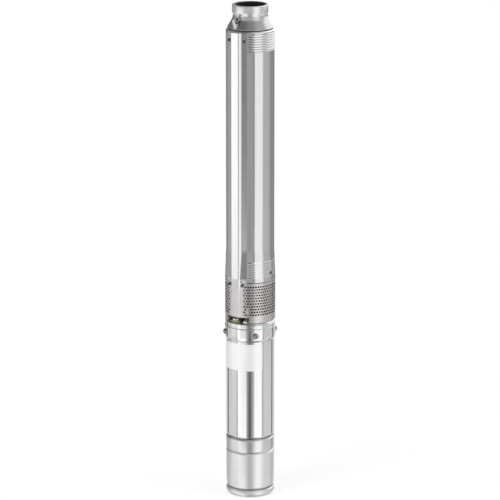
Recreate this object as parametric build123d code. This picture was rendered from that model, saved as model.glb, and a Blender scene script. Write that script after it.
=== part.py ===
from build123d import *
from math import asin, atan, cos, degrees, radians, sin, sqrt
import os

# A borehole submersible pump: a canned 4-inch motor with a multistage pump end above it.
# All lengths are millimetres. The origin is the centre of the motor's foot and +Z runs up
# the shaft to the outlet. An azimuth is measured about the shaft in degrees, from the cable
# guard's side (-Y) towards +X.

# Fits
SLIP = 0.15              # radial gap of a piece slipped into its housing
RUNNING_GAP = 0.06       # radial gap of a turning journal in its bearing
SCREW_GAP = 0.1          # radial gap round a screw, stud or hexagon shaft
FILM = 0.1               # water film between the thrust disc and its pads

# Motor body
MOTOR_OD = 95.2
MOTOR_SHEET = 1.2
PILOT_OD = 87.3          # spigot that centres the pump end
PILOT_HEIGHT = 3.2
BELL_HEIGHT = 26.8       # formed cover over the upper bearing housing
BELL_BULGE = 2.4         # beyond the motor's side at its widest
BELL_BULGE_HEIGHT = 18   # of the widest line above the seam
BELL_SHOULDER = 1.6
SHELL_GROOVE_DROP = 7    # below the top of the lower bearing housing
SHELL_GROOVE_WIDTH = 8
GROOVE_DEPTH = 1.5

# Bottom cup of the motor
CUP_JOINT_DROP = 36.6    # of the cup's rim below the top of the lower bearing housing
CUP_OD = 94.8
CUP_WAIST_OD = 93.6      # just above the bottom groove
CUP_SHEET = 1.5
CUP_GROOVE_HEIGHT = 16.9
CUP_GROOVE_WIDTH = 8
FOOT_OD = 82
FOOT_BEND = 7            # height of the rounded edge

# Motor bearings, seals and mounting face
STUD_CIRCLE = 76.2
STUD_D = 7.9
STUD_PROJECTION = 16
STUD_DEPTH = 15
NUT_AF = 12.7
NUT_HEIGHT = 6.8
NUT_TURN = 30            # turns a flat towards the shaft
NUT_ROOM = 1.3           # of the spot face round a nut
LEAD_AZIMUTH = -20
LEAD_RADIUS = 33
LEAD_BORE = 10
LEAD_BORE_DEPTH = 18
SOCKET_OD = 16
SOCKET_LENGTH = 33
SOCKET_RISE = 14         # above the mounting face
JAM_NUT_AF = 19
JAM_NUT_HEIGHT = 9
PLUG_D = 6
PLUG_LENGTH = 6
HOUSING_DEPTH = 41       # of the upper bearing housing below the mounting face
HOUSING_RIM = 12         # of its flange inside the shell
BEARING_WALL = 5
UPPER_BEARING_LENGTH = 24
LOWER_BEARING_LENGTH = 26
SEAL_OD = 28
SEAL_HEIGHT = 7
SEAL_INSET = 5           # below the mounting face
SLINGER_OD = 32
SLINGER_HEIGHT = 3
SLINGER_LIFT = 2

# Motor shaft, rotor and stator
SPLINE_D = 15.8
SHAFT_PROJECTION = 38.1
UPPER_JOURNAL_D = 20
ROTOR_SHAFT_D = 24
CORE_LENGTH = 132
ROTOR_OD = 46.8
AIR_GAP = 0.6
WINDING_HEIGHT = 20
WINDING_GAP = 4          # to the bearing housings
WINDING_OD = 86
WINDING_ID = 54
END_RING_HEIGHT = 6
END_RING_OD = 45

# Thrust bearing and pressure balance
DIAPHRAGM_ROOM = 43      # from the foot to the thrust housing
WEB_THICKNESS = 12
THRUST_ROOM = 48         # depth of the thrust chamber under the web
THRUST_HOUSING_WALL = 4.5
THRUST_FLANGE = 6
THRUST_DISC_OD = 66
THRUST_DISC_HEIGHT = 10
THRUST_SHAFT_D = 18
PAD_COUNT = 6
PAD_HEIGHT = 8
PAD_SPREAD = 52
PAD_INNER_D = 26
CARRIER_HEIGHT = 8
DIAPHRAGM_WALL = 2
DIAPHRAGM_DEPTH = 18
CLAMP_WALL = 3

# Suction end
SUCTION_LENGTH = 90      # mounting face to the pump shell
LANTERN_PLATE = 5.5
LANTERN_BORE = 54
LANTERN_INSET = 0.4      # of the lantern's rim inside the strainer's outside
LANTERN_RIM = 9.5        # shoulder that the strainer stands on, above the mounting face
LANTERN_COLLAR = 5.5     # ring inside the strainer's hem
LANTERN_COLLAR_WALL = 3
SOCKET_ROOM = 24
LEG_COUNT = 3
LEG_WIDTH = 12
LEG_DEPTH = 13
LEG_INSET = 1            # of the legs' outer faces inside the head's rim
LANTERN_HEAD = 13
LANTERN_LAND = 5.5       # of the head, inside the strainer's top hem
LANTERN_RELIEF = 3       # behind the strainer's top holes
SPIGOT_LENGTH = 34
SPIGOT_SHOULDER = 8
INLET_BORE = 66
STRAINER_OD = 98
STRAINER_SHEET = 0.8
STRAINER_ROWS = 5
STRAINER_HOLES = 32      # in a full turn
STRAINER_HOLE_AF = 5.4
STRAINER_TOP_HEM = 12
STRAINER_FOOT_HEM = 16
PLAIN_BAND = 17.5        # half width in degrees of the unperforated band
NOTCH_HALF_ANGLE = 30
NOTCH_HEIGHT = 11

# Pump shell
SHELL_OD = 93.7
SHELL_SHEET = 1.75
RING_DEPTH = 0.5
RING_CREST = 0.25        # how far the rolled rings stand above the shell
TOP_RINGS = 7
TOP_RING_PITCH = 5
FOOT_RINGS = 6
FOOT_RING_PITCH = 4.7
SWELL_OD = 95.6
SWELL_LENGTH = 20        # of the run from the swell back to the shell's width
LIP_STEP = 0.2           # of the foot lip outside the strainer
LIP_HEIGHT = 9
LIP_EDGE = 0.5
RING_MARGIN = 1.5        # plain stretch between the lip and the first ring
RIM_HEIGHT = 4           # of the top edge, rolled in over the head above the top rings
RIM_CURL = 2.1

# Stages
STAGE_COUNT = 6
STAGE_PITCH = 66.5
WHEEL_LIFT = 2           # of each impeller's hub above its bowl's foot
BOWL_WALL = 2.45
BOWL_PLATE = 6
CHAMBER_HEIGHT = 36      # room for the impeller at the foot of a bowl
BOWL_SLOPE = 14          # height over which the bowl's wall closes in to its eye
HUB_OD = 72              # of the diffuser hub
HUB_NECK_OD = 36
HUB_RIM = 2              # straight rim of the hub below its vanes
DIFFUSER_LEAN = 38       # degrees that a diffuser vane turns as it runs outwards
EYE_OD = 48.2            # impeller skirt
EYE_WALL = 1.7
NECK_RING_WALL = 3
IMPELLER_OD = 83
IMPELLER_HUB_OD = 20
IMPELLER_BACK_OD = 70
BACK_GAP = 1.5           # below the diffuser's hub
WHEEL_CONE = 12          # height of the back plate's cone, and of the blades' outlet
WHEEL_LEAN = -65         # degrees that an impeller blade turns as it runs outwards
PLATE_THICKNESS = 2.4
BLADE_ROOT = 0.8         # depth of a blade's edge inside the plates
VANE_COUNT = 6
VANE_THICKNESS = 2.2
STAGE_BEARING_WALL = 3.5
SHAFT_AF = 14
SHAFT_COLLAR_HEIGHT = 6

# Top bearing and coupling
TOP_BRACKET_HEIGHT = 22
BRACKET_RING_WALL = 4.5
BRACKET_ARMS = 4
BRACKET_ARM_WIDTH = 5
TOP_BEARING_WALL = 4
TOP_BEARING_LENGTH = 12
BRACKET_HUB_WALL = 4
TOP_SLEEVE_LENGTH = 13
SHAFT_NUT_AF = 20
SHAFT_NUT_HEIGHT = 8
COUPLING_OD = 27
COUPLING_LENGTH = 62
COUPLING_LIFT = 12       # above the mounting face
SHAFT_END_GAP = 1        # between the two shafts' ends

# Check valve
SEAT_HEIGHT = 29
SEAT_WALL = 2.9
SEAT_LIP = 10
SEAT_BORE = 48
SEAT_CONE = 3
SEAT_GAP = 0.4           # between the closed valve's seal and its seat
POPPET_LIP = 3
POPPET_PLATE = 3
POPPET_CORE = 40
POPPET_STEM_D = 8
POPPET_STEM_LENGTH = 22
VALVE_SEAL_HEIGHT = 5.5
CAGE_HEIGHT = 6
CAGE_ARMS = 3
CAGE_ARM_HEIGHT = 3
CAGE_ARM_WIDTH = 4
CAGE_HUB_OD = 16
CAGE_HUB_HEIGHT = 12
ARM_ROOT = 1             # depth of a spider's arm inside its hub
SPRING_WIRE = 1
SPRING_TURNS = 4
SPRING_STEPS = 16        # straight stretches in a turn

# Discharge head
HEAD_SKIRT = 40
SKIRT_WALL = 6.5
HEAD_GROOVE_DEPTH = 0.9
HEAD_GROOVE_HEIGHT = 1.5
CONE_HEIGHT = 19.5
CONE_INSET = 2.4         # of the cone's foot from the shell's outside
NECK_OD = 67
NECK_HEIGHT = 7.5
COLLAR_TAPER = 3
COLLAR_OD = 69.5
COLLAR_HEIGHT = 15
COLLAR_CHAMFER = 1
OUTLET_BORE = 56.66      # minor diameter of a G2 thread
OUTLET_DEPTH = 24
CAGE_LAND = 4            # from the cage's top to the taper up to the outlet
MOUTH_CHAMFER = 1.9
EYE_HOLE = 9
EYE_RING_WALL = 2.7
EAR_THICKNESS = 7
EAR_OUTER_RADIUS = 48
EAR_DROP = 2             # of the rope hole below the cone's top
EAR_FOOT = 2             # of the ear's root above the shell
EAR_AZIMUTH = -8
EAR_ROOT = 2             # depth of the ear inside the head's wall

# Cable guard
GUARD_SHEET = 0.7
CROWN_RISE = 2.9         # of the crown above the widest thing under the guard
CROWN_WIDTH = 17.2
GUARD_FOOT_WIDTH = 25.4
GUARD_HALF_ANGLE = 27
GUARD_GAP = 0.1
TONGUE_LENGTH = 12.5      # below the pump shell
TONGUE_HALF_ANGLE = 21
TONGUE_GAP = 2           # between the shell's flanges and the tongue's
LIP_RAMP = 2             # height of the flanges' step over the shell's lip

# Screws
GUARD_SCREW_D = 4
GUARD_SCREW_HEAD = 7
GUARD_SCREW_HEAD_HEIGHT = 2.2
GUARD_SCREW_LENGTH = 7
GUARD_SCREW_AZIMUTH = 21
GUARD_SCREW_DROP = 20    # below the shell's top
TONGUE_SCREW_AZIMUTH = 17
TONGUE_SCREW_DROP = 5    # below the shell's foot
LOCK_SCREW_D = 5
LOCK_SCREW_HEAD = 7.6
LOCK_SCREW_HEAD_HEIGHT = 1.6
LOCK_SCREW_LENGTH = 8
LOCK_SCREW_RISE = 16.5   # above the shell's foot
BREAK = 1                # chamfer on turned and moulded edges

# Radii and heights that follow from the sizes above
motor_r = MOTOR_OD / 2
motor_bore_r = motor_r - MOTOR_SHEET
shell_r = SHELL_OD / 2
shell_bore_r = shell_r - SHELL_SHEET
stack_r = shell_bore_r - SLIP
crest_r = shell_r + RING_CREST
lip_r = STRAINER_OD / 2 + LIP_STEP
lip_bore_r = lip_r - SHELL_SHEET
thrust_foot_z = DIAPHRAGM_ROOM
web_foot_z = thrust_foot_z + THRUST_ROOM
lower_housing_top_z = web_foot_z + WEB_THICKNESS + LOWER_BEARING_LENGTH
cup_top_z = lower_housing_top_z - CUP_JOINT_DROP
shell_groove_z = lower_housing_top_z - SHELL_GROOVE_DROP
core_foot_z = lower_housing_top_z + WINDING_GAP + WINDING_HEIGHT
core_top_z = core_foot_z + CORE_LENGTH
housing_foot_z = core_top_z + WINDING_HEIGHT + WINDING_GAP
face_z = housing_foot_z + HOUSING_DEPTH
shoulder_z = face_z - PILOT_HEIGHT
seam_z = shoulder_z - BELL_HEIGHT
plate_top_z = face_z + LANTERN_PLATE
strainer_foot_z = face_z + LANTERN_RIM
shell_foot_z = face_z + SUCTION_LENGTH
stack_z = shell_foot_z + SPIGOT_LENGTH
stack_top_z = stack_z + STAGE_COUNT * STAGE_PITCH
head_foot_z = stack_top_z + TOP_BRACKET_HEIGHT
shell_top_z = head_foot_z + HEAD_SKIRT
guard_top_z = shell_top_z - RIM_HEIGHT
neck_z = shell_top_z + CONE_HEIGHT
collar_z = neck_z + NECK_HEIGHT + COLLAR_TAPER
outlet_z = collar_z + COLLAR_HEIGHT


def turned(outline, azimuth=0, spread=360):
    """Revolve a closed outline of (radius, height) points, spread evenly about an azimuth."""
    face = make_face(Polyline(*[(r, 0, z) for r, z in outline], close=True))
    return Rot(0, 0, azimuth - 90 - spread / 2) * revolve(face, Axis.Z, spread)


def tube(foot, top, outer_r, inner_r=0):
    """A plain ring or disc between two heights."""
    return turned([(inner_r, foot), (outer_r, foot), (outer_r, top), (inner_r, top)])


def place(azimuth, radius, height=0):
    """A place beside the shaft whose X axis points outwards."""
    return Rot(0, 0, azimuth - 90) * Pos(radius, 0, height)


def facing(azimuth, radius, height):
    """A place on the side of the pump whose Z axis points outwards."""
    return place(azimuth, radius, height) * Rot(0, 90, 0)


def rod(radius, foot, top):
    """An upright cylinder between two heights."""
    return Pos(0, 0, foot) * extrude(Circle(radius), top - foot)


def hexagon(across_flats, foot, top):
    """An upright hexagonal bar between two heights."""
    return Pos(0, 0, foot) * extrude(RegularPolygon(across_flats / 2, 6, major_radius=False), top - foot)


def screw(head_d, head_height, shank_d, length):
    """A pan-head screw with its seat at the origin and its head along +Z."""
    edge = head_height / 3
    head = [(0, 0), (head_d / 2, 0), (head_d / 2, head_height - edge),
            (head_d / 2 - edge, head_height), (0, head_height)]
    return turned(head) + rod(shank_d / 2, -length, 0)


def guard_screw():
    return screw(GUARD_SCREW_HEAD, GUARD_SCREW_HEAD_HEIGHT, GUARD_SCREW_D, GUARD_SCREW_LENGTH)


def screw_holes(shank_d, azimuth, height):
    """A pair of radial screw holes, one on each side of the guard's azimuth."""
    drill = Cylinder(shank_d / 2 + SCREW_GAP, MOTOR_OD / 2)
    return [facing(side * azimuth, shell_r, height) * drill for side in (-1, 1)]


def bell_outline(inset):
    """Upper motor cover from its pilot hole round the bulge to the seam, moved in by a wall."""
    shoulder_r = motor_r - inset
    top = shoulder_z - inset
    rim = Line((PILOT_OD / 2 + SLIP, 0, top), (shoulder_r, 0, top))
    bend = Line((shoulder_r, 0, top), (shoulder_r + BELL_SHOULDER, 0, top - BELL_SHOULDER))
    bulge = ThreePointArc((shoulder_r + BELL_SHOULDER, 0, top - BELL_SHOULDER),
                          (shoulder_r + BELL_BULGE, 0, seam_z + BELL_BULGE_HEIGHT),
                          (motor_r - inset, 0, seam_z))
    return rim, bend, bulge


def motor_top_cover():
    """Formed stainless cover, an even wall between two copies of its outline."""
    outside = bell_outline(0)
    inside = bell_outline(MOTOR_SHEET)
    ends = [Line(outside[0] @ 0, inside[0] @ 0), Line(outside[2] @ 1, inside[2] @ 1)]
    return revolve(make_face([*outside, *inside, *ends]), Axis.Z)


def upper_housing_seats():
    """Heights of the journal bearing's top and of the seal's foot in the upper housing."""
    seal_foot = face_z - SEAL_INSET - SEAL_HEIGHT
    bearing_top = housing_foot_z + UPPER_BEARING_LENGTH
    return bearing_top, seal_foot


upper_bearing_r = UPPER_JOURNAL_D / 2 + RUNNING_GAP + BEARING_WALL
housing_r = motor_bore_r - SLIP
housing_shoulder_z = shoulder_z - MOTOR_SHEET


def upper_bearing_housing():
    """Cast bracket under the cover: pilot, seal seat, bearing seat, studs' and lead's holes."""
    bearing_top, seal_foot = upper_housing_seats()
    throat_r = upper_bearing_r - BEARING_WALL / 2
    body = turned([(upper_bearing_r, housing_foot_z), (housing_r, housing_foot_z),
                   (housing_r, housing_shoulder_z), (PILOT_OD / 2, housing_shoulder_z),
                   (PILOT_OD / 2, face_z), (SEAL_OD / 2, face_z), (SEAL_OD / 2, seal_foot),
                   (throat_r, seal_foot), (throat_r, bearing_top), (upper_bearing_r, bearing_top)])
    relief = turned([(upper_bearing_r + BEARING_WALL, housing_foot_z),
                     (housing_r - BEARING_WALL, housing_foot_z),
                     (housing_r - BEARING_WALL, housing_foot_z + HOUSING_RIM),
                     (upper_bearing_r + BEARING_WALL, housing_foot_z + HOUSING_RIM)])
    stud_hole = rod(STUD_D / 2 + SCREW_GAP, face_z - STUD_DEPTH, face_z)
    holes = [place(a, STUD_CIRCLE / 2) * stud_hole for a in stud_azimuths()]
    lead_hole = rod(SOCKET_OD / 2 + SCREW_GAP, housing_foot_z, face_z)
    plug_hole = rod(PLUG_D / 2 + SCREW_GAP, housing_foot_z, face_z)
    holes.append(place(LEAD_AZIMUTH, LEAD_RADIUS) * lead_hole)
    holes.append(place(LEAD_AZIMUTH + 180, LEAD_RADIUS) * plug_hole)
    return body - relief - holes


def stud_azimuths():
    return [LEAD_AZIMUTH + 45 + 90 * i for i in range(4)]


def flange_studs():
    stud = rod(STUD_D / 2, face_z - STUD_DEPTH, face_z + STUD_PROJECTION)
    return [place(a, STUD_CIRCLE / 2) * stud for a in stud_azimuths()]


def flange_nuts():
    nut = hexagon(NUT_AF, plate_top_z, plate_top_z + NUT_HEIGHT)
    nut -= rod(STUD_D / 2 + SCREW_GAP, plate_top_z, plate_top_z + NUT_HEIGHT)
    return [place(a, STUD_CIRCLE / 2) * Rot(0, 0, NUT_TURN) * nut for a in stud_azimuths()]


def upper_journal_bearing():
    bearing_top = upper_housing_seats()[0]
    return tube(housing_foot_z, bearing_top, upper_bearing_r - SLIP, UPPER_JOURNAL_D / 2 + RUNNING_GAP)


def shaft_seal():
    seal_foot = upper_housing_seats()[1]
    return tube(seal_foot, seal_foot + SEAL_HEIGHT, SEAL_OD / 2 - SLIP, SPLINE_D / 2 + RUNNING_GAP)


def sand_slinger():
    """Rubber disc on the shaft that throws sand off the seal, dished towards its rim."""
    foot = face_z + SLINGER_LIFT
    inner_r = SPLINE_D / 2 + RUNNING_GAP
    return turned([(inner_r, foot), (SLINGER_OD / 2, foot - SLINGER_LIFT / 2), (SLINGER_OD / 2, foot),
                   (inner_r + SLINGER_HEIGHT, foot + SLINGER_HEIGHT), (inner_r, foot + SLINGER_HEIGHT)])


def lead_socket():
    """Moulded socket through the upper housing that takes the lead's plug from above."""
    top = face_z + SOCKET_RISE
    body = rod(SOCKET_OD / 2, top - SOCKET_LENGTH, top)
    bore = rod(LEAD_BORE / 2, top - LEAD_BORE_DEPTH, top)
    return place(LEAD_AZIMUTH, LEAD_RADIUS) * (body - bore)


def lead_jam_nut():
    nut = hexagon(JAM_NUT_AF, face_z, face_z + JAM_NUT_HEIGHT)
    nut -= rod(SOCKET_OD / 2 + SCREW_GAP, face_z, face_z + JAM_NUT_HEIGHT)
    return place(LEAD_AZIMUTH, LEAD_RADIUS) * nut


def filling_plug():
    """Slotted plug of the motor's filling hole, flush with the mounting face."""
    plug = rod(PLUG_D / 2, face_z - PLUG_LENGTH, face_z)
    plug -= Pos(0, 0, face_z) * Box(PLUG_D, PLUG_D / 6, PLUG_D / 3)
    return place(LEAD_AZIMUTH + 180, LEAD_RADIUS) * plug


def dent(radius, height, width, depth):
    """Three outline points of a rolled groove, from below."""
    return [(radius, height - width / 2), (radius - depth, height - width / 6),
            (radius - depth, height + width / 6), (radius, height + width / 2)]


def motor_shell():
    """Rolled motor tube from the cup's joint to the cover's seam, an even wall all the way."""
    joint = cup_top_z
    bend = GROOVE_DEPTH * 2
    outside = [(motor_r - GROOVE_DEPTH, joint), (motor_r, joint + bend)]
    outside += dent(motor_r, shell_groove_z, SHELL_GROOVE_WIDTH, GROOVE_DEPTH) + [(motor_r, seam_z)]
    inside = [(r - MOTOR_SHEET, z) for r, z in outside]
    return turned(outside + inside[::-1])


def cup_outline(inset):
    """Bottom cup from the joint down to the foot's edge, moved in by a wall."""
    rim_r, waist_r = CUP_OD / 2 - inset, CUP_WAIST_OD / 2 - inset
    groove = dent(waist_r, CUP_GROOVE_HEIGHT, CUP_GROOVE_WIDTH, GROOVE_DEPTH)[::-1]
    bend = GROOVE_DEPTH * 2
    foot_r = FOOT_OD / 2 - inset
    return ([(rim_r - GROOVE_DEPTH, cup_top_z), (rim_r, cup_top_z - bend), (rim_r, cup_top_z / 2)] + groove
            + [(rim_r, FOOT_BEND + inset), (rim_r - FOOT_BEND / 3, FOOT_BEND / 3 + inset), (foot_r, inset)])


def bottom_cover():
    """Stamped stainless cup with a flat foot that holds the diaphragm and closes the motor."""
    outside, inside = cup_outline(0), cup_outline(CUP_SHEET)
    return turned(outside + [(0, 0), (0, CUP_SHEET)] + inside[::-1])


lower_bearing_r = ROTOR_SHAFT_D / 2 + RUNNING_GAP + BEARING_WALL
lower_bearing_foot_z = web_foot_z + WEB_THICKNESS / 2
thrust_housing_r = CUP_WAIST_OD / 2 - CUP_SHEET - SLIP
chamber_r = thrust_housing_r - THRUST_HOUSING_WALL
pad_z = thrust_foot_z + THRUST_FLANGE + CARRIER_HEIGHT
thrust_disc_z = pad_z + PAD_HEIGHT + FILM


def lower_bearing_housing():
    """Cast housing held by the shell's groove: bearing seat above, thrust chamber below."""
    groove_r = housing_r - GROOVE_DEPTH
    groove_top = shell_groove_z + SHELL_GROOVE_WIDTH / 2
    groove_foot = shell_groove_z - SHELL_GROOVE_WIDTH / 2
    joint_top = cup_top_z + 2 * GROOVE_DEPTH
    neck_r = min(groove_r, CUP_OD / 2 - CUP_SHEET - GROOVE_DEPTH - SLIP)
    outer = [(chamber_r, thrust_foot_z), (thrust_housing_r, thrust_foot_z),
             (thrust_housing_r, cup_top_z / 2 + 2 * FOOT_BEND), (neck_r, cup_top_z - 3 * GROOVE_DEPTH),
             (neck_r, joint_top), (housing_r, joint_top + GROOVE_DEPTH), (housing_r, groove_foot),
             (groove_r, groove_foot + GROOVE_DEPTH), (groove_r, groove_top - GROOVE_DEPTH),
             (housing_r, groove_top), (housing_r, lower_housing_top_z)]
    rim_r = housing_r - BEARING_WALL
    hub_r = lower_bearing_r + BEARING_WALL
    web_top = web_foot_z + WEB_THICKNESS
    hub_top = lower_bearing_foot_z + LOWER_BEARING_LENGTH
    inner = [(rim_r, lower_housing_top_z), (rim_r, web_top), (hub_r, web_top), (hub_r, hub_top),
             (lower_bearing_r, hub_top), (lower_bearing_r, lower_bearing_foot_z),
             (lower_bearing_r - BEARING_WALL / 2, lower_bearing_foot_z),
             (lower_bearing_r - BEARING_WALL / 2, web_foot_z), (chamber_r, web_foot_z)]
    floor = tube(thrust_foot_z, thrust_foot_z + THRUST_FLANGE, chamber_r, PAD_INNER_D)
    return turned(outer + inner) + floor


def lower_journal_bearing():
    top = lower_bearing_foot_z + LOWER_BEARING_LENGTH
    return tube(lower_bearing_foot_z, top, lower_bearing_r - SLIP, ROTOR_SHAFT_D / 2 + RUNNING_GAP)


def pad_carrier():
    """Steel plate under the thrust pads, on the thrust chamber's floor."""
    foot = thrust_foot_z + THRUST_FLANGE
    return tube(foot, pad_z, chamber_r - SLIP, PAD_INNER_D / 2)


def thrust_pads():
    """Tilting pads, one sector each, round the carrier."""
    outline = [(PAD_INNER_D / 2, pad_z), (THRUST_DISC_OD / 2, pad_z),
               (THRUST_DISC_OD / 2, pad_z + PAD_HEIGHT), (PAD_INNER_D / 2, pad_z + PAD_HEIGHT)]
    return [turned(outline, i * 360 / PAD_COUNT, PAD_SPREAD) for i in range(PAD_COUNT)]


def thrust_disc():
    top = thrust_disc_z + THRUST_DISC_HEIGHT
    return tube(thrust_disc_z, top, THRUST_DISC_OD / 2, THRUST_SHAFT_D / 2 + SCREW_GAP)


def diaphragm():
    """Rubber diaphragm clamped under the thrust housing, hanging as a shallow cup."""
    rim_r = thrust_housing_r - SLIP
    hang_r = rim_r - CLAMP_WALL - 2 * DIAPHRAGM_WALL
    floor_r = hang_r - DIAPHRAGM_DEPTH / 3
    top, wall = thrust_foot_z, DIAPHRAGM_WALL
    floor = top - DIAPHRAGM_DEPTH
    return turned([(rim_r, top - wall), (rim_r, top), (hang_r, top), (floor_r, floor), (0, floor),
                   (0, floor - wall), (floor_r + wall, floor - wall), (hang_r + wall, top - wall)])


def diaphragm_clamp():
    """Steel ring that presses the diaphragm's rim up from the bead of the cup's groove."""
    bead_top = CUP_GROOVE_HEIGHT + CUP_GROOVE_WIDTH / 2
    outer_r = thrust_housing_r - SLIP
    return tube(bead_top, thrust_foot_z - DIAPHRAGM_WALL, outer_r, outer_r - CLAMP_WALL)


def motor_shaft():
    """Stepped shaft: thrust end, rotor seat, upper journal and the coupling's end."""
    lower_step = thrust_disc_z + THRUST_DISC_HEIGHT
    upper_step = core_top_z + END_RING_HEIGHT
    journal_top = upper_housing_seats()[1] - SLIP
    tip = face_z + SHAFT_PROJECTION
    spline_r = SPLINE_D / 2
    return turned([(0, thrust_disc_z), (THRUST_SHAFT_D / 2, thrust_disc_z), (THRUST_SHAFT_D / 2, lower_step),
                   (ROTOR_SHAFT_D / 2, lower_step), (ROTOR_SHAFT_D / 2, upper_step),
                   (UPPER_JOURNAL_D / 2, upper_step), (UPPER_JOURNAL_D / 2, journal_top),
                   (spline_r, journal_top), (spline_r, tip - BREAK), (spline_r - BREAK, tip), (0, tip)])


def stator_core():
    bore_r = ROTOR_OD / 2 + AIR_GAP
    return tube(core_foot_z, core_top_z, housing_r, bore_r)


def winding(foot, rising):
    """End turns of the winding: a ring that narrows away from the core."""
    top = foot + rising * WINDING_HEIGHT
    bend = WINDING_HEIGHT / 4
    return turned([(WINDING_ID / 2, foot), (WINDING_OD / 2, foot), (WINDING_OD / 2, top - rising * bend),
                   (WINDING_OD / 2 - bend, top), (WINDING_ID / 2 + bend, top),
                   (WINDING_ID / 2, top - rising * bend)])


def rotor_core():
    return tube(core_foot_z, core_top_z, ROTOR_OD / 2, ROTOR_SHAFT_D / 2 + SCREW_GAP)


def rotor_end_rings():
    ring = tube(0, END_RING_HEIGHT, END_RING_OD / 2, ROTOR_SHAFT_D / 2 + SCREW_GAP)
    feet = (core_foot_z - END_RING_HEIGHT, core_top_z)
    return [Pos(0, 0, foot) * ring for foot in feet]


lantern_head_r = STRAINER_OD / 2 - STRAINER_SHEET - SLIP
neck_ring_r = EYE_OD / 2 + RUNNING_GAP + NECK_RING_WALL


def intake_lantern():
    """Cast bracket from the motor's face to the pump shell, open all round between its legs."""
    rim_r = STRAINER_OD / 2 - LANTERN_INSET
    recess_r = PILOT_OD / 2 + SLIP
    skirt_z = shoulder_z + SLIP
    collar_top = strainer_foot_z + LANTERN_COLLAR
    collar_r = lantern_head_r - LANTERN_COLLAR_WALL
    foot = turned([(LANTERN_BORE / 2, face_z), (recess_r, face_z), (recess_r, skirt_z),
                   (rim_r, skirt_z), (rim_r, strainer_foot_z), (lantern_head_r, strainer_foot_z),
                   (lantern_head_r, collar_top), (collar_r, collar_top), (collar_r, plate_top_z),
                   (LANTERN_BORE / 2, plate_top_z)])
    head_z = shell_foot_z - LANTERN_HEAD
    shoulder_top = shell_foot_z + SPIGOT_SHOULDER
    bore_r = INLET_BORE / 2
    lip_foot = stack_z - BOWL_PLATE
    land_foot = shell_foot_z - LANTERN_LAND
    relief_r = lantern_head_r - LANTERN_RELIEF
    head = turned([(bore_r, head_z), (relief_r, head_z), (relief_r, land_foot),
                   (lantern_head_r, land_foot), (lantern_head_r, shell_foot_z),
                   (lip_bore_r - SLIP, shell_foot_z), (lip_bore_r - SLIP, shoulder_top),
                   (stack_r, shoulder_top),
                   (stack_r, stack_z), (neck_ring_r + SLIP, stack_z), (neck_ring_r + SLIP, lip_foot),
                   (bore_r, lip_foot - BOWL_PLATE)])
    leg = Box(LEG_DEPTH, LEG_WIDTH, head_z - plate_top_z, align=(Align.MAX, Align.CENTER, Align.MIN))
    leg_r = lantern_head_r - LEG_INSET
    legs = [place(LEAD_AZIMUTH + 90 * (i + 1), leg_r, plate_top_z) * leg for i in range(LEG_COUNT)]
    notch = turned([(LANTERN_BORE / 2, plate_top_z), (MOTOR_OD, plate_top_z), (MOTOR_OD, head_z),
                    (LANTERN_BORE / 2, head_z)], 0, 2 * NOTCH_HALF_ANGLE)
    stud_hole = rod(STUD_D / 2 + SCREW_GAP + SLIP, skirt_z, plate_top_z)
    stud_hole += rod(NUT_AF / 2 + NUT_ROOM, plate_top_z, head_z)
    holes = [place(a, STUD_CIRCLE / 2) * stud_hole for a in stud_azimuths()]
    holes.append(place(LEAD_AZIMUTH, LEAD_RADIUS) * rod(SOCKET_ROOM / 2, skirt_z, plate_top_z))
    holes += screw_holes(LOCK_SCREW_D, 90, shell_foot_z + LOCK_SCREW_RISE)
    holes += screw_holes(GUARD_SCREW_D, TONGUE_SCREW_AZIMUTH, shell_foot_z - TONGUE_SCREW_DROP)
    return foot + head + legs - notch - holes


def strainer():
    """Perforated sleeve: staggered rows with a plain band behind the guard and a lead notch."""
    sleeve = tube(strainer_foot_z, shell_foot_z, STRAINER_OD / 2, STRAINER_OD / 2 - STRAINER_SHEET)
    first = strainer_foot_z + STRAINER_FOOT_HEM
    row_pitch = (shell_foot_z - STRAINER_TOP_HEM - first) / (STRAINER_ROWS - 1)
    step = 360 / STRAINER_HOLES
    hole = RegularPolygon(STRAINER_HOLE_AF / 2, 6, major_radius=False)
    punch = extrude(hole, 2 * STRAINER_SHEET, both=True)
    punches = []
    for row in range(STRAINER_ROWS):
        for column in range(STRAINER_HOLES):
            azimuth = (column + row % 2 / 2) * step - 180
            if abs(azimuth) > PLAIN_BAND:
                punches.append(facing(azimuth, STRAINER_OD / 2, first + row * row_pitch) * punch)
    notch_z = strainer_foot_z + NOTCH_HEIGHT
    notch = turned([(LANTERN_BORE / 2, strainer_foot_z), (MOTOR_OD, strainer_foot_z), (MOTOR_OD, notch_z),
                    (LANTERN_BORE / 2, notch_z)], 0, 2 * NOTCH_HALF_ANGLE)
    tongue_holes = screw_holes(GUARD_SCREW_D, TONGUE_SCREW_AZIMUTH, shell_foot_z - TONGUE_SCREW_DROP)
    return sleeve - punches - notch - tongue_holes


def rolled_rings(foot, count, pitch, radius):
    """Outline of rolled rings, from below: a crest between each two grooves."""
    points = [(radius - RING_DEPTH, foot)]
    for i in range(count):
        points += [(radius, foot + (i + 0.5) * pitch), (radius - RING_DEPTH, foot + (i + 1) * pitch)]
    return points


foot_rings_z = shell_foot_z + LIP_HEIGHT + RING_MARGIN
swell_top_z = foot_rings_z + FOOT_RINGS * FOOT_RING_PITCH


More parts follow.
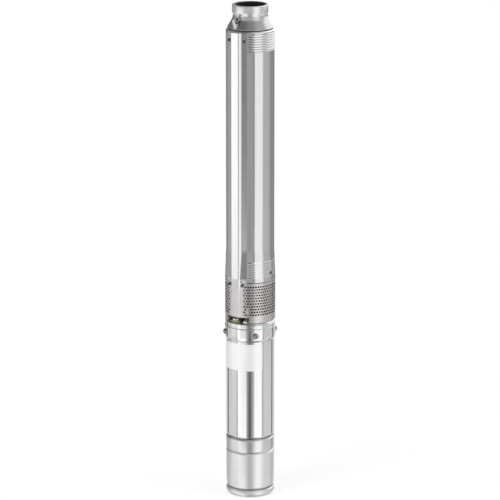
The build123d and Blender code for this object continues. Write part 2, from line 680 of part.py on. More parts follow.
def pump_shell():
    """Stainless tube with rolled rings at both ends, a slight swell and a flared foot lip."""
    rim_z = shell_top_z - RIM_HEIGHT
    top_rings_z = rim_z - TOP_RINGS * TOP_RING_PITCH
    outside = [(lip_r - LIP_EDGE, shell_foot_z), (lip_r, shell_foot_z + LIP_EDGE),
               (lip_r, shell_foot_z + LIP_HEIGHT)]
    outside += rolled_rings(foot_rings_z, FOOT_RINGS, FOOT_RING_PITCH, SWELL_OD / 2)
    outside += [(SWELL_OD / 2, swell_top_z + RING_MARGIN), (shell_r, swell_top_z + SWELL_LENGTH),
                (shell_r, top_rings_z - RING_MARGIN)]
    outside += rolled_rings(top_rings_z, TOP_RINGS, TOP_RING_PITCH, crest_r)
    outside += [(shell_r - RIM_CURL, shell_top_z)]
    shoulder_top = shell_foot_z + SPIGOT_SHOULDER + SLIP
    inside = [(shell_bore_r - RIM_CURL, shell_top_z), (shell_bore_r, rim_z), (shell_bore_r, shoulder_top),
              (lip_bore_r, shoulder_top), (lip_bore_r, shell_foot_z)]
    holes = screw_holes(GUARD_SCREW_D, GUARD_SCREW_AZIMUTH, shell_top_z - GUARD_SCREW_DROP)
    holes += screw_holes(LOCK_SCREW_D, 90, shell_foot_z + LOCK_SCREW_RISE)
    return turned(outside + inside) - holes


def lock_screws():
    """Two button-head screws that keep the shell from turning on the lantern."""
    body = screw(LOCK_SCREW_HEAD, LOCK_SCREW_HEAD_HEIGHT, LOCK_SCREW_D, LOCK_SCREW_LENGTH)
    body -= hexagon(LOCK_SCREW_D / 2, LOCK_SCREW_HEAD_HEIGHT / 3, LOCK_SCREW_HEAD_HEIGHT)
    seat = SWELL_OD / 2
    return [facing(side * 90, seat, shell_foot_z + LOCK_SCREW_RISE) * body for side in (-1, 1)]


guard_seat_r = crest_r + GUARD_GAP
tongue_seat_r = STRAINER_OD / 2 + GUARD_GAP


def guard_seat_outline():
    """The line that the guard's flanges follow on the shell, from the top down."""
    lip_seat_r = lip_r + GUARD_GAP
    swell_r = SWELL_OD / 2 + GUARD_GAP
    lip_top = shell_foot_z + LIP_HEIGHT
    return [(guard_seat_r, guard_top_z), (guard_seat_r, swell_top_z + SWELL_LENGTH), (swell_r, swell_top_z),
            (swell_r, lip_top + LIP_RAMP), (lip_seat_r, lip_top), (lip_seat_r, shell_foot_z)]


def guard_strips(seat, half_angle):
    """A pair of sheet strips over a seat line, from under the guard's crown out to an angle."""
    outer = [(r + GUARD_SHEET, z) for r, z in seat]
    inner_angle = degrees(asin(CROWN_WIDTH / 2 / guard_seat_r))
    middle, spread = (inner_angle + half_angle) / 2, half_angle - inner_angle
    return [turned(seat + outer[::-1], side * middle, spread) for side in (-1, 1)]


def guard_prism(inset):
    """The guard's hat section as a bar, from inside the shell out to its crown, moved in by a wall."""
    foot_y = sqrt(guard_seat_r ** 2 - (GUARD_FOOT_WIDTH / 2) ** 2)
    reach = max(r for r, z in guard_seat_outline()) + CROWN_RISE
    flare = (GUARD_FOOT_WIDTH - CROWN_WIDTH) / 2 / (reach - foot_y)
    wall = inset / cos(atan(flare))
    depth = GUARD_FOOT_WIDTH / 2
    root_y, crown_y = foot_y - depth, reach - inset
    half_root = GUARD_FOOT_WIDTH / 2 + flare * depth - wall
    half_crown = CROWN_WIDTH / 2 + flare * inset - wall
    section = Polygon((half_root, -root_y), (half_crown, -crown_y), (-half_crown, -crown_y),
                      (-half_root, -root_y), align=None)
    foot_z = shell_foot_z - TONGUE_LENGTH
    return Pos(0, 0, foot_z) * extrude(section, guard_top_z - foot_z, dir=(0, 0, 1))


def cable_guard():
    """Folded hat-section strip over the lead: crown, two side walls and flanges on the shell."""
    foot_z = shell_foot_z - TONGUE_LENGTH
    seat = guard_seat_outline()
    tongue_seat = [(tongue_seat_r, shell_foot_z - TONGUE_GAP), (tongue_seat_r, foot_z)]
    pump = turned(seat + [(tongue_seat_r, shell_foot_z), (tongue_seat_r, foot_z), (0, foot_z),
                          (0, guard_top_z)])
    guard = guard_prism(0) - pump
    guard += guard_strips(seat, GUARD_HALF_ANGLE) + guard_strips(tongue_seat, TONGUE_HALF_ANGLE)
    holes = screw_holes(GUARD_SCREW_D, GUARD_SCREW_AZIMUTH, shell_top_z - GUARD_SCREW_DROP)
    holes += screw_holes(GUARD_SCREW_D, TONGUE_SCREW_AZIMUTH, shell_foot_z - TONGUE_SCREW_DROP)
    return guard - guard_prism(GUARD_SHEET) - holes


def guard_screws():
    """Two screws at the shell's top and two in the tongue on the strainer."""
    top_z, tongue_z = shell_top_z - GUARD_SCREW_DROP, shell_foot_z - TONGUE_SCREW_DROP
    places = [facing(side * GUARD_SCREW_AZIMUTH, guard_seat_r + GUARD_SHEET, top_z) for side in (-1, 1)]
    places += [facing(side * TONGUE_SCREW_AZIMUTH, tongue_seat_r + GUARD_SHEET, tongue_z) for side in (-1, 1)]
    return [spot * guard_screw() for spot in places]


bowl_bore_r = stack_r - BOWL_WALL
hub_bore_r = IMPELLER_HUB_OD / 2 + RUNNING_GAP + STAGE_BEARING_WALL
eye_bore_r = neck_ring_r + SLIP
vane_foot_z = CHAMBER_HEIGHT + HUB_RIM
hub_top_z = STAGE_PITCH - BOWL_PLATE - HUB_RIM
back_top_z = CHAMBER_HEIGHT - BACK_GAP


def vanes(inner_r, outer_r, turn, foot, top):
    """Upright vanes of even thickness that lean back along an arc as they run outwards."""
    lean = radians(turn)
    start, end = (inner_r, 0), (outer_r * cos(lean), outer_r * sin(lean))
    middle_r = (inner_r + outer_r) / 2
    middle = (middle_r * cos(lean / 3), middle_r * sin(lean / 3))
    camber = ThreePointArc(start, middle, end)
    blade = Pos(0, 0, foot) * extrude(trace(camber, VANE_THICKNESS), top - foot)
    return [Rot(0, 0, i * 360 / VANE_COUNT) * blade for i in range(VANE_COUNT)]


def stage_bowl():
    """Diffuser bowl: outer wall and eye plate round a bulb hub, joined by leaning vanes."""
    plate_z = STAGE_PITCH - BOWL_PLATE
    slope_foot = plate_z - BOWL_PLATE - BOWL_SLOPE
    wall = turned([(stack_r, 0), (stack_r, STAGE_PITCH), (eye_bore_r, STAGE_PITCH), (eye_bore_r, plate_z),
                   (bowl_bore_r, slope_foot), (bowl_bore_r, 0)])
    hub = turned([(hub_bore_r, CHAMBER_HEIGHT), (HUB_OD / 2, CHAMBER_HEIGHT),
                  (HUB_OD / 2, vane_foot_z + HUB_RIM), (HUB_NECK_OD / 2, hub_top_z), (hub_bore_r, hub_top_z)])
    root = BOWL_WALL / 2
    passage = turned([(HUB_OD / 2 - root, vane_foot_z), (bowl_bore_r + root, vane_foot_z),
                      (bowl_bore_r + root, slope_foot), (eye_bore_r + root, plate_z + root),
                      (HUB_NECK_OD / 2 - root, hub_top_z - HUB_RIM)])
    blades = vanes(hub_bore_r, stack_r, DIFFUSER_LEAN, vane_foot_z, plate_z)
    return wall + hub + [blade & passage for blade in blades]


def impeller():
    """Closed mixed-flow impeller: hexagon-bored hub, back plate, shrouded blades and eye skirt."""
    hub_r, back_r, tip_r = IMPELLER_HUB_OD / 2, IMPELLER_BACK_OD / 2, IMPELLER_OD / 2
    eye_r, throat_r = EYE_OD / 2, EYE_OD / 2 - EYE_WALL
    hub_top = STAGE_PITCH + WHEEL_LIFT
    cone_r, cone_z = hub_r + WHEEL_CONE / 2, WHEEL_CONE
    back_foot_z = back_top_z - PLATE_THICKNESS
    dish_z = cone_z + PLATE_THICKNESS
    back = turned([(0, WHEEL_LIFT), (hub_r, WHEEL_LIFT), (cone_r, cone_z), (back_r, back_foot_z),
                   (back_r, back_top_z), (cone_r, dish_z), (hub_r, dish_z), (hub_r, hub_top), (0, hub_top)])
    tip_z = back_foot_z - WHEEL_CONE
    lip = PLATE_THICKNESS / 2
    shroud = turned([(throat_r, -BOWL_PLATE), (eye_r, -BOWL_PLATE), (eye_r, lip), (tip_r, tip_z - lip),
                     (tip_r, tip_z + lip), (tip_r - lip, tip_z + lip), (throat_r, 3 * lip)])
    inlet_r, outlet_r = hub_r + PLATE_THICKNESS, tip_r - BLADE_ROOT
    channel = turned([(inlet_r, 3 * PLATE_THICKNESS), (throat_r + BLADE_ROOT, 2 * lip), (outlet_r, tip_z),
                      (outlet_r - lip, tip_z + 2 * lip), (back_r, back_top_z - BLADE_ROOT),
                      (cone_r, cone_z + BLADE_ROOT)])
    blades = vanes(hub_r, tip_r + PLATE_THICKNESS, WHEEL_LEAN, WHEEL_LIFT, back_top_z)
    wheel = back + shroud + [blade & channel for blade in blades]
    return wheel - hexagon(SHAFT_AF + 2 * SCREW_GAP, 0, hub_top)


def stage_bearings():
    """Rubber sleeve bearings in the bowls' hubs."""
    ring = tube(vane_foot_z, hub_top_z - HUB_RIM, hub_bore_r - SLIP, IMPELLER_HUB_OD / 2 + RUNNING_GAP)
    return [Pos(0, 0, stack_z + i * STAGE_PITCH) * ring for i in range(STAGE_COUNT)]


def neck_rings():
    """Wear rings round the impellers' eyes, the first in the lantern and one in each bowl below."""
    ring = tube(-BOWL_PLATE, 0, neck_ring_r, EYE_OD / 2 + RUNNING_GAP)
    return [Pos(0, 0, stack_z + i * STAGE_PITCH) * ring for i in range(STAGE_COUNT)]


coupling_z = face_z + COUPLING_LIFT
shaft_foot_z = face_z + SHAFT_PROJECTION + SHAFT_END_GAP
sleeve_z = stack_top_z + WHEEL_LIFT
nut_z = sleeve_z + TOP_SLEEVE_LENGTH


def pump_shaft():
    """Hexagon shaft with a round collar under the first impeller."""
    bar = hexagon(SHAFT_AF, shaft_foot_z, nut_z + SHAFT_NUT_HEIGHT)
    collar_top = stack_z + WHEEL_LIFT
    return bar + rod(IMPELLER_HUB_OD / 2, collar_top - SHAFT_COLLAR_HEIGHT, collar_top)


def coupling():
    """Steel sleeve that joins the motor shaft to the pump shaft, pinned through both."""
    joint = face_z + SHAFT_PROJECTION
    body = rod(COUPLING_OD / 2, coupling_z, coupling_z + COUPLING_LENGTH)
    body -= rod(SPLINE_D / 2 + SCREW_GAP, coupling_z, joint)
    return body - hexagon(SHAFT_AF + 2 * SCREW_GAP, joint, coupling_z + COUPLING_LENGTH)


top_bearing_r = IMPELLER_HUB_OD / 2 + RUNNING_GAP + TOP_BEARING_WALL


def top_bearing_bracket():
    """Spider on the last bowl: outer ring, hub for the rubber bearing and arms between."""
    ring = tube(stack_top_z, head_foot_z, stack_r, stack_r - BRACKET_RING_WALL)
    hub_top = sleeve_z + TOP_BEARING_LENGTH
    hub_r = top_bearing_r + BRACKET_HUB_WALL
    hub = tube(sleeve_z, hub_top, hub_r, top_bearing_r)
    length = stack_r - hub_r - BRACKET_RING_WALL / 2
    arm = Box(length, BRACKET_ARM_WIDTH, TOP_BEARING_LENGTH, align=(Align.MIN, Align.CENTER, Align.MIN))
    azimuths = [(i + 0.5) * 360 / BRACKET_ARMS for i in range(BRACKET_ARMS)]
    arms = [place(a, hub_r - ARM_ROOT, sleeve_z) * arm for a in azimuths]
    return ring + hub + arms


def top_bearing_bush():
    top = sleeve_z + TOP_BEARING_LENGTH
    return tube(sleeve_z, top, top_bearing_r - SLIP, IMPELLER_HUB_OD / 2 + RUNNING_GAP)


def top_sleeve():
    sleeve = rod(IMPELLER_HUB_OD / 2, sleeve_z, nut_z)
    return sleeve - hexagon(SHAFT_AF + 2 * SCREW_GAP, sleeve_z, nut_z)


def shaft_nut():
    nut = hexagon(SHAFT_NUT_AF, nut_z, nut_z + SHAFT_NUT_HEIGHT)
    return nut - hexagon(SHAFT_AF + 2 * SCREW_GAP, nut_z, nut_z + SHAFT_NUT_HEIGHT)


seat_r = stack_r - SKIRT_WALL - SLIP
seat_top_z = head_foot_z + SEAT_LIP
cone_foot_z = seat_top_z - SEAT_CONE
cage_z = head_foot_z + SEAT_HEIGHT
cage_stop_z = cage_z + CAGE_HEIGHT
plate_z = cone_foot_z + VALVE_SEAL_HEIGHT
poppet_top_z = plate_z + POPPET_PLATE
cage_arm_z = cage_stop_z - CAGE_ARM_HEIGHT


def valve_seat():
    """Cup in the head's skirt with the conical seat in its floor."""
    bore_r = SEAT_BORE / 2
    wall_r = seat_r - SEAT_WALL
    return turned([(bore_r, head_foot_z), (seat_r, head_foot_z), (seat_r, cage_z), (wall_r, cage_z),
                   (wall_r, seat_top_z), (bore_r + SEAT_CONE, seat_top_z), (bore_r, cone_foot_z)])


def valve_seal():
    """Rubber ring on the poppet whose 45-degree face closes on the seat."""
    edge_r = SEAT_BORE / 2 - SEAT_GAP
    rise = SEAT_CONE + BREAK
    return turned([(POPPET_CORE / 2, cone_foot_z), (edge_r, cone_foot_z), (edge_r + rise, cone_foot_z + rise),
                   (edge_r + rise, plate_z), (POPPET_CORE / 2, plate_z)])


def valve_poppet():
    """Guided poppet: lip under the seal, plate above it and a stem in the cage's hub."""
    lip_r = SEAT_BORE / 2 - POPPET_LIP / 2
    stem_r = POPPET_STEM_D / 2
    foot_z = cone_foot_z - POPPET_LIP
    tip_z = poppet_top_z + POPPET_STEM_LENGTH
    plate_r = SEAT_BORE / 2 - SEAT_GAP + SEAT_CONE + BREAK
    return turned([(0, foot_z), (lip_r - 2 * BREAK, foot_z), (lip_r, foot_z + 2 * BREAK),
                   (lip_r, cone_foot_z),
                   (POPPET_CORE / 2, cone_foot_z), (POPPET_CORE / 2, plate_z), (plate_r, plate_z),
                   (plate_r, poppet_top_z - BREAK), (plate_r - BREAK, poppet_top_z), (stem_r, poppet_top_z),
                   (stem_r, tip_z - BREAK), (stem_r - BREAK, tip_z), (0, tip_z)])


def valve_cage():
    """Spider over the poppet: ring on the seat cup, arms and the stem's guide hub."""
    ring = tube(cage_z, cage_stop_z, seat_r, seat_r - SEAT_WALL)
    hub_r = CAGE_HUB_OD / 2
    stem_gap_r = POPPET_STEM_D / 2 + SCREW_GAP
    hub = tube(cage_arm_z, cage_arm_z + CAGE_HUB_HEIGHT, hub_r, stem_gap_r)
    length = seat_r - hub_r - SEAT_WALL / 2 + ARM_ROOT
    arm = Box(length, CAGE_ARM_WIDTH, CAGE_ARM_HEIGHT, align=(Align.MIN, Align.CENTER, Align.MIN))
    arms = [place(i * 360 / CAGE_ARMS, hub_r - ARM_ROOT, cage_arm_z) * arm for i in range(CAGE_ARMS)]
    return ring + hub + arms


def valve_spring():
    """Coil round the stem, between the poppet's plate and the cage's arms."""
    wire_r = SPRING_WIRE / 2
    coil_r = POPPET_STEM_D / 2 + 2 * SPRING_WIRE
    foot = poppet_top_z + wire_r + SCREW_GAP
    height = cage_arm_z - wire_r - SCREW_GAP - foot
    steps = SPRING_TURNS * SPRING_STEPS
    path = Polyline(*[place(i * 360 / SPRING_STEPS, coil_r, foot + height * i / steps).position
                      for i in range(steps + 1)])
    section = Plane(path @ 0, z_dir=path % 0) * RegularPolygon(wire_r, 6)
    return sweep(section, path, transition=Transition.RIGHT)


def rope_ear():
    """Upright ear on the cone with a hole across it for the safety rope."""
    ring_r = EYE_HOLE / 2 + EYE_RING_WALL
    hole_r = EAR_OUTER_RADIUS - ring_r
    hole_z = neck_z - EAR_DROP
    root = NECK_OD / 2 - EAR_ROOT
    ring = Pos(hole_r, hole_z) * Circle(ring_r)
    foot_z = shell_top_z + EAR_FOOT
    foot = Polygon((root, neck_z), (root, foot_z), (shell_r - CONE_INSET - EAR_ROOT, foot_z), align=None)
    face = make_hull(ring.edges() + foot.edges())
    return extrude(Plane.XZ * face, EAR_THICKNESS / 2, both=True), (hole_r, hole_z)


def discharge_head():
    """Cast head: skirt in the shell, cone, waisted neck, collar for the rising main, two ears."""
    cone_r = shell_r - CONE_INSET
    groove_top = shell_top_z + HEAD_GROOVE_HEIGHT
    bore_r = OUTLET_BORE / 2
    neck_top = neck_z + NECK_HEIGHT
    outside = [(stack_r, head_foot_z), (stack_r, shell_top_z - RIM_HEIGHT), (stack_r - RIM_CURL, shell_top_z),
               (cone_r - HEAD_GROOVE_DEPTH, groove_top), (cone_r, groove_top), (NECK_OD / 2, neck_z),
               (NECK_OD / 2, neck_top), (COLLAR_OD / 2, collar_z), (COLLAR_OD / 2, outlet_z - COLLAR_CHAMFER),
               (COLLAR_OD / 2 - COLLAR_CHAMFER, outlet_z)]
    inside = [(bore_r + MOUTH_CHAMFER, outlet_z), (bore_r, outlet_z - MOUTH_CHAMFER),
              (bore_r, outlet_z - OUTLET_DEPTH), (seat_r - SEAT_WALL, cage_stop_z + CAGE_LAND),
              (seat_r - SEAT_WALL, cage_stop_z), (seat_r + SLIP, cage_stop_z), (seat_r + SLIP, head_foot_z)]
    body = turned(outside + inside)
    ear, (hole_r, hole_z) = rope_ear()
    waterway = turned([(0, head_foot_z), (seat_r, head_foot_z), (bore_r, outlet_z - OUTLET_DEPTH),
                       (bore_r, outlet_z), (0, outlet_z)])
    drill = Pos(hole_r, 0, hole_z) * Rot(90, 0, 0) * Cylinder(EYE_HOLE / 2, 4 * EAR_THICKNESS)
    for azimuth in (EAR_AZIMUTH, EAR_AZIMUTH + 180):
        body = body + place(azimuth, 0) * (ear - waterway) - place(azimuth, 0) * drill
    return body - screw_holes(GUARD_SCREW_D, GUARD_SCREW_AZIMUTH, shell_top_z - GUARD_SCREW_DROP)


def write(name, shape):
    """Write one node: a single piece, or a list of like pieces that share it."""
    pieces = shape if isinstance(shape, list) else [shape]
    solids = [solid for piece in pieces for solid in piece.solids()]
    node = solids[0] if len(solids) == 1 else Compound(solids)
    node.label = name
    export_step(node, f"parts/{name}.step")


os.makedirs("parts", exist_ok=True)

for make in (discharge_head, valve_seat, valve_poppet, valve_seal, valve_spring, valve_cage, pump_shell,
             cable_guard, guard_screws, lock_screws, top_bearing_bracket, top_bearing_bush, top_sleeve,
             shaft_nut, pump_shaft, stage_bearings, neck_rings, intake_lantern, strainer, coupling,
             motor_shaft, sand_slinger, flange_studs, flange_nuts, lead_socket, lead_jam_nut,
             motor_top_cover, upper_bearing_housing, upper_journal_bearing, shaft_seal, filling_plug,
             motor_shell, stator_core, rotor_core, rotor_end_rings, lower_bearing_housing,
             lower_journal_bearing, thrust_disc, thrust_pads, pad_carrier, diaphragm, diaphragm_clamp,
             bottom_cover):
    write(make.__name__, make())

write("upper_winding", winding(core_top_z, 1))
write("lower_winding", winding(core_foot_z, -1))

bowl, wheel = stage_bowl(), impeller()
for stage in range(STAGE_COUNT):
    level = Pos(0, 0, stack_z + stage * STAGE_PITCH)
    write(f"stage_bowl_{stage + 1}", level * bowl)
    write(f"impeller_{stage + 1}", level * wheel)
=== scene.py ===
import math
import bmesh
import bpy
import numpy as np
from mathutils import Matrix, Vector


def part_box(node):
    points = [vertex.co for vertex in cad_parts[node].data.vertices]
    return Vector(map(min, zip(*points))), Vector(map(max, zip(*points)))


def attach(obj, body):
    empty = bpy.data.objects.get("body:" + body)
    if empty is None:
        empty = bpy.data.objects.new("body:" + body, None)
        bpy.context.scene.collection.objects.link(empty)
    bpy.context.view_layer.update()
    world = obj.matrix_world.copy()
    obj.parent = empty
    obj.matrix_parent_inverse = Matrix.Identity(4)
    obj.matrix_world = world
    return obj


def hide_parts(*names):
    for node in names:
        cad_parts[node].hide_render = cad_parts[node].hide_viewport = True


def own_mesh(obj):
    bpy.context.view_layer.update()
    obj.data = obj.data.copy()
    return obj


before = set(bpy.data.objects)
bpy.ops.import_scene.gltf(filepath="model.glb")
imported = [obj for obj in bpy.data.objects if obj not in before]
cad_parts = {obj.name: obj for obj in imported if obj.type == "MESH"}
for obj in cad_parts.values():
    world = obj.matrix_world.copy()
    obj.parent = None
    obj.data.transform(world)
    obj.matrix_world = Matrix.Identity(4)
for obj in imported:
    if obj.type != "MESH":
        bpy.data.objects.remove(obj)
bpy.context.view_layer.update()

# Bottom cup of the motor: deep-drawn stainless sheet, brushed on a lathe, with a flat foot, a
# rounded edge and a rolled groove that holds the diaphragm's ring. It is pressed over the thrust
# housing, and its rim is drawn in where it meets the motor's tube.

# Sizes in this script are in mm and angles in degrees. Azimuths run from the cable guard.


def linear(code):
    """Turn an sRGB hex colour into the linear RGBA that a shader's socket takes."""
    parts = [int(code[i:i + 2], 16) / 255 for i in (1, 3, 5)]
    return [p / 12.92 if p <= 0.04045 else ((p + 0.055) / 1.055) ** 2.4 for p in parts] + [1.0]


def add(tree, kind, inputs=None, **settings):
    """Add one shader node; inputs maps its sockets to values or to the outputs that feed them."""
    made = tree.nodes.new("ShaderNode" + kind)
    for name, value in settings.items():
        setattr(made, name, value)
    for socket, value in (inputs or {}).items():
        if isinstance(value, bpy.types.NodeSocket):
            tree.links.new(value, made.inputs[socket])
        else:
            made.inputs[socket].default_value = value
    return made


def finish(name, tones, rough, grain, depth=0.0, metallic=1.0, smudge=0.0, **sockets):
    """A surface whose two tones and two roughnesses are mixed by a stretched noise.

    grain is the size of the noise in mm along X, Y and Z, depth its height in mm, and smudge the
    roughness that a second noise, of a hand's breadth, adds in soft clouds. Marks finer than
    about 0.5 mm on the real surface are drawn at 0.25 to 0.9 mm, so that they show.
    """
    material = bpy.data.materials.new(name)
    material.use_nodes = True
    tree = material.node_tree
    shader = tree.nodes["Principled BSDF"]
    place = add(tree, "TexCoord").outputs["Object"]
    stretched = add(tree, "Mapping", {"Vector": place, "Scale": [1000 / g for g in grain]})
    noise = add(tree, "TexNoise", {"Vector": stretched.outputs[0], "Scale": 1.0, "Detail": 3.0})
    noise = noise.outputs["Fac"]
    sharp = add(tree, "MapRange", {"Value": noise, "From Min": 0.3, "From Max": 0.7}).outputs[0]
    colour = add(tree, "MixRGB", {"Fac": sharp, "Color1": linear(tones[0]),
                                  "Color2": linear(tones[1])})
    tree.links.new(colour.outputs[0], shader.inputs["Base Color"])
    cloud = add(tree, "TexNoise", {"Vector": place, "Scale": CLOUDS_PER_METRE, "Detail": 2.0})
    base = add(tree, "MapRange", {"Value": sharp, "To Min": rough[0], "To Max": rough[1]})
    total = add(tree, "Math", {0: cloud.outputs["Fac"], 1: smudge, 2: base.outputs[0]},
                operation="MULTIPLY_ADD")
    tree.links.new(total.outputs[0], shader.inputs["Roughness"])
    if depth:
        bump = add(tree, "Bump", {"Height": noise, "Distance": depth / 1000, "Strength": 1.0})
        tree.links.new(bump.outputs[0], shader.inputs["Normal"])
    shader.inputs["Metallic"].default_value = metallic
    for socket, value in sockets.items():
        shader.inputs[socket.replace("_", " ")].default_value = value
    return material


def grimed(material, outer_r, depth, foot=0.0):
    """Paint shade as a darker grey on a turned surface above foot, where it lies depth or more
    within outer_r, in mm.
    """
    tree = material.node_tree
    colour = tree.nodes["Principled BSDF"].inputs["Base Color"]
    place = add(tree, "TexCoord").outputs["Object"]
    level = add(tree, "VectorMath", {0: place, 1: (1, 1, 0)}, operation="MULTIPLY").outputs[0]
    reach = add(tree, "VectorMath", {0: level}, operation="LENGTH").outputs["Value"]
    outside = add(tree, "MapRange", {"Value": reach, "From Min": (outer_r - depth) / 1000,
                                     "From Max": (outer_r - 0.7 * depth) / 1000}).outputs[0]
    height = add(tree, "SeparateXYZ", {0: place}).outputs["Z"]
    below = add(tree, "Math", {0: height, 1: foot / 1000}, operation="LESS_THAN").outputs[0]
    clean = add(tree, "Math", {0: outside, 1: below}, operation="MAXIMUM").outputs[0]
    mixed = add(tree, "MixRGB", {"Fac": clean, "Color1": linear(GRIME),
                                 "Color2": colour.links[0].from_socket})
    tree.links.new(mixed.outputs[0], colour)


def size(node):
    """The outer radius, foot and top of a node, in mm."""
    low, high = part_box(node)
    return high.x * 1000, low.z * 1000, high.z * 1000


def rounded(corners, radius, steps):
    """Round the inner corners of a line of (radius, height) points with parabolic arcs.

    Each arc is (1-s)^2 A + 2s(1-s) P + s^2 B, from A before the corner P to B after it, and takes
    at most 45 % of the runs beside it.
    """
    corners = np.asarray(corners, float)
    line = [corners[:1]]
    s = np.linspace(0, 1, steps)[:, None]
    for before, corner, after in zip(corners, corners[1:], corners[2:]):
        runs = [before - corner, after - corner]
        lengths = [np.hypot(*run) for run in runs]
        reach = min(radius, 0.45 * lengths[0], 0.45 * lengths[1])
        a, b = [corner + run / length * reach for run, length in zip(runs, lengths)]
        line.append((1 - s) ** 2 * a + 2 * s * (1 - s) * corner + s ** 2 * b)
    return np.concatenate(line + [corners[-1:]])


def around_shaft(a, r, z):
    """Points at azimuth a, radius r and height z: x = r sin a, y = -r cos a."""
    return np.stack(np.broadcast_arrays(r * np.sin(a), -r * np.cos(a), z), -1)


def circle(steps):
    """Azimuths round a full turn, as the rows of a grid."""
    return np.linspace(0, 2 * np.pi, steps, endpoint=False)[:, None]


def turned(profile, steps=192):
    """Turn (radius, height) points about the Z axis."""
    return around_shaft(circle(steps), *np.asarray(profile, float).T)


def quads(rows, columns, around, along):
    """Corner numbers of the quads over a grid, closed where rows go around or columns along."""
    i = np.arange(rows if around else rows - 1)[:, None]
    j = np.arange(columns if along else columns - 1)[None, :]
    k, m = (i + 1) % rows, (j + 1) % columns
    corners = [i * columns + j, k * columns + j, k * columns + m, i * columns + m]
    return np.stack(corners, -1).reshape(-1, 4)


def tidy(mesh, sharp, outward=False):
    """Close seams and poles, turn the faces out if asked, and smooth all but the sharp edges."""
    work = bmesh.new()
    work.from_mesh(mesh)
    bmesh.ops.remove_doubles(work, verts=work.verts, dist=1e-7)
    bmesh.ops.dissolve_degenerate(work, edges=work.edges, dist=1e-8)
    if outward:
        bmesh.ops.recalc_face_normals(work, faces=work.faces)
    work.to_mesh(mesh)
    work.free()
    mesh.shade_smooth()
    mesh.set_sharp_from_angle(angle=math.radians(sharp))
    return mesh


def mesh_of(name, sheets, sharp=32, outward=False):
    """One mesh from grids of points in mm, each with its two closed flags."""
    points, faces, start = [], [], 0
    for grid, around, along in sheets:
        points.append(grid.reshape(-1, 3) / 1000)
        faces.append(quads(*grid.shape[:2], around, along) + start)
        start += len(points[-1])
    mesh = bpy.data.meshes.new(name)
    mesh.from_pydata(np.concatenate(points).tolist(), [], np.concatenate(faces).tolist())
    return tidy(mesh, sharp, outward)


def placed(name, data):
    """A new object in the scene, at the origin."""
    obj = bpy.data.objects.new(name, data)
    bpy.context.scene.collection.objects.link(obj)
    return obj


def piece(name, mesh, body, slot, nodes, *materials):
    """Put a mesh in the scene as one piece that rides on a body and stands for its CAD nodes."""
    obj = placed(name, mesh)
    for material in materials:
        mesh.materials.append(material)
    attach(obj, body)
    if nodes:
        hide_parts(*nodes)
    return obj


def lathe(name, outline, body, slot, nodes, material):
    """A solid of revolution over a closed outline that runs up outside and down inside."""
    mesh = mesh_of(name, [(turned(outline, 256), True, True)], outward=True)
    return piece(name, mesh, body, slot, nodes, material)


CLOUDS_PER_METRE = 11.0
# The grey of the painted shade in the rolled grooves, and the depth in mm that sets where it
# starts.
GRIME = "#747470"
GRIME_DEPTH = 1.5
GROOVE_HALF = 4.0
GROOVE_DEPTH = 1.5
ROLL_ROUND = 1.0
CUP_FOOT_R = 41.0
CUP_BEND = 7.0
CUP_ROUND = 3.2
CUP_GROOVE = 16.9
CUP_WAIST = 0.6
CUP_WALL = 1.5


def grooved(radius, height):
    """Four points of a rolled groove about a height, from below."""
    floor, half = radius - GROOVE_DEPTH, GROOVE_HALF / 3
    return [(radius, height - GROOVE_HALF), (floor, height - half), (floor, height + half),
            (radius, height + GROOVE_HALF)]


cup_r, _, cup_top = size("bottom_cover")
cup_waist, cup_inner = cup_r - CUP_WAIST, cup_r - 2 * CUP_WALL

# Satin stainless: fine rings left by the brush soften each reflection into a wide band. The rolled
# grooves are darkened with painted shade.
satin_steel = finish("satin_stainless_steel", ("#E8E8E7", "#E0E0DF"), (0.3, 0.36), (60, 60, 0.5),
                     depth=0.002, metallic=0.85, smudge=0.04)
grimed(satin_steel, cup_waist, GRIME_DEPTH, CUP_BEND + 3)

cup_edge = rounded([(0, 0), (CUP_FOOT_R, 0), (cup_r - CUP_BEND / 3, CUP_BEND / 3),
                    (cup_r, CUP_BEND), (cup_r, CUP_BEND + 1)], CUP_ROUND, 8)
cup_side = rounded([(cup_r, CUP_BEND + 2)] + grooved(cup_waist, CUP_GROOVE) + [
    (cup_r, cup_top / 2), (cup_r, cup_top - 3), (cup_r - GROOVE_DEPTH, cup_top)], ROLL_ROUND, 8)
cup_inside = [(cup_inner, cup_top), (cup_inner, CUP_WALL), (0, CUP_WALL)]
lathe("bottom_cup", np.concatenate([cup_edge, cup_side, cup_inside]), "pump", "cup_steel",
      ["bottom_cover"], satin_steel)

# Pressure balance and thrust bearing inside the cup: a moulded rubber diaphragm under a steel
# clamping ring, then a ground steel plate that carries six carbon pads, under the disc of the
# shaft. All of it is held by the lower bearing housing, an iron casting.


def dress(material, *nodes):
    """Give CAD nodes whose shape is right their finish."""
    for node in nodes:
        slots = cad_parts[node].data.materials
        slots.clear()
        slots.append(material)


# Nitrile rubber: moulded, nearly black, with a dull bloom.
rubber = finish("moulded_nitrile_rubber", ("#1D1D1F", "#232325"), (0.55, 0.7), (3, 3, 3),
                depth=0.01, metallic=0.0)
# Ground steel: bright, with fine circular grinding marks.
ground_steel = finish("ground_stainless_steel", ("#D2D2CF", "#C2C2BF"), (0.16, 0.26),
                      (12, 12, 0.4), depth=0.003, smudge=0.05)
# Carbon graphite: sintered and lapped, dark grey with a faint metallic sheen.
carbon = finish("sintered_carbon_graphite", ("#2A2B2D", "#35363A"), (0.3, 0.45),
                (0.6, 0.6, 0.6), depth=0.005, metallic=0.3)
# Grey iron: sand-cast and partly machined, dark with a coarse skin.
cast_iron = finish("machined_grey_iron", ("#5B5B5A", "#6E6E6C"), (0.4, 0.6), (1.2, 1.2, 1.2),
                   depth=0.05)

dress(rubber, "diaphragm")
dress(ground_steel, "diaphragm_clamp", "pad_carrier", "thrust_disc")
dress(carbon, "thrust_pads", "lower_journal_bearing")
dress(cast_iron, "lower_bearing_housing")

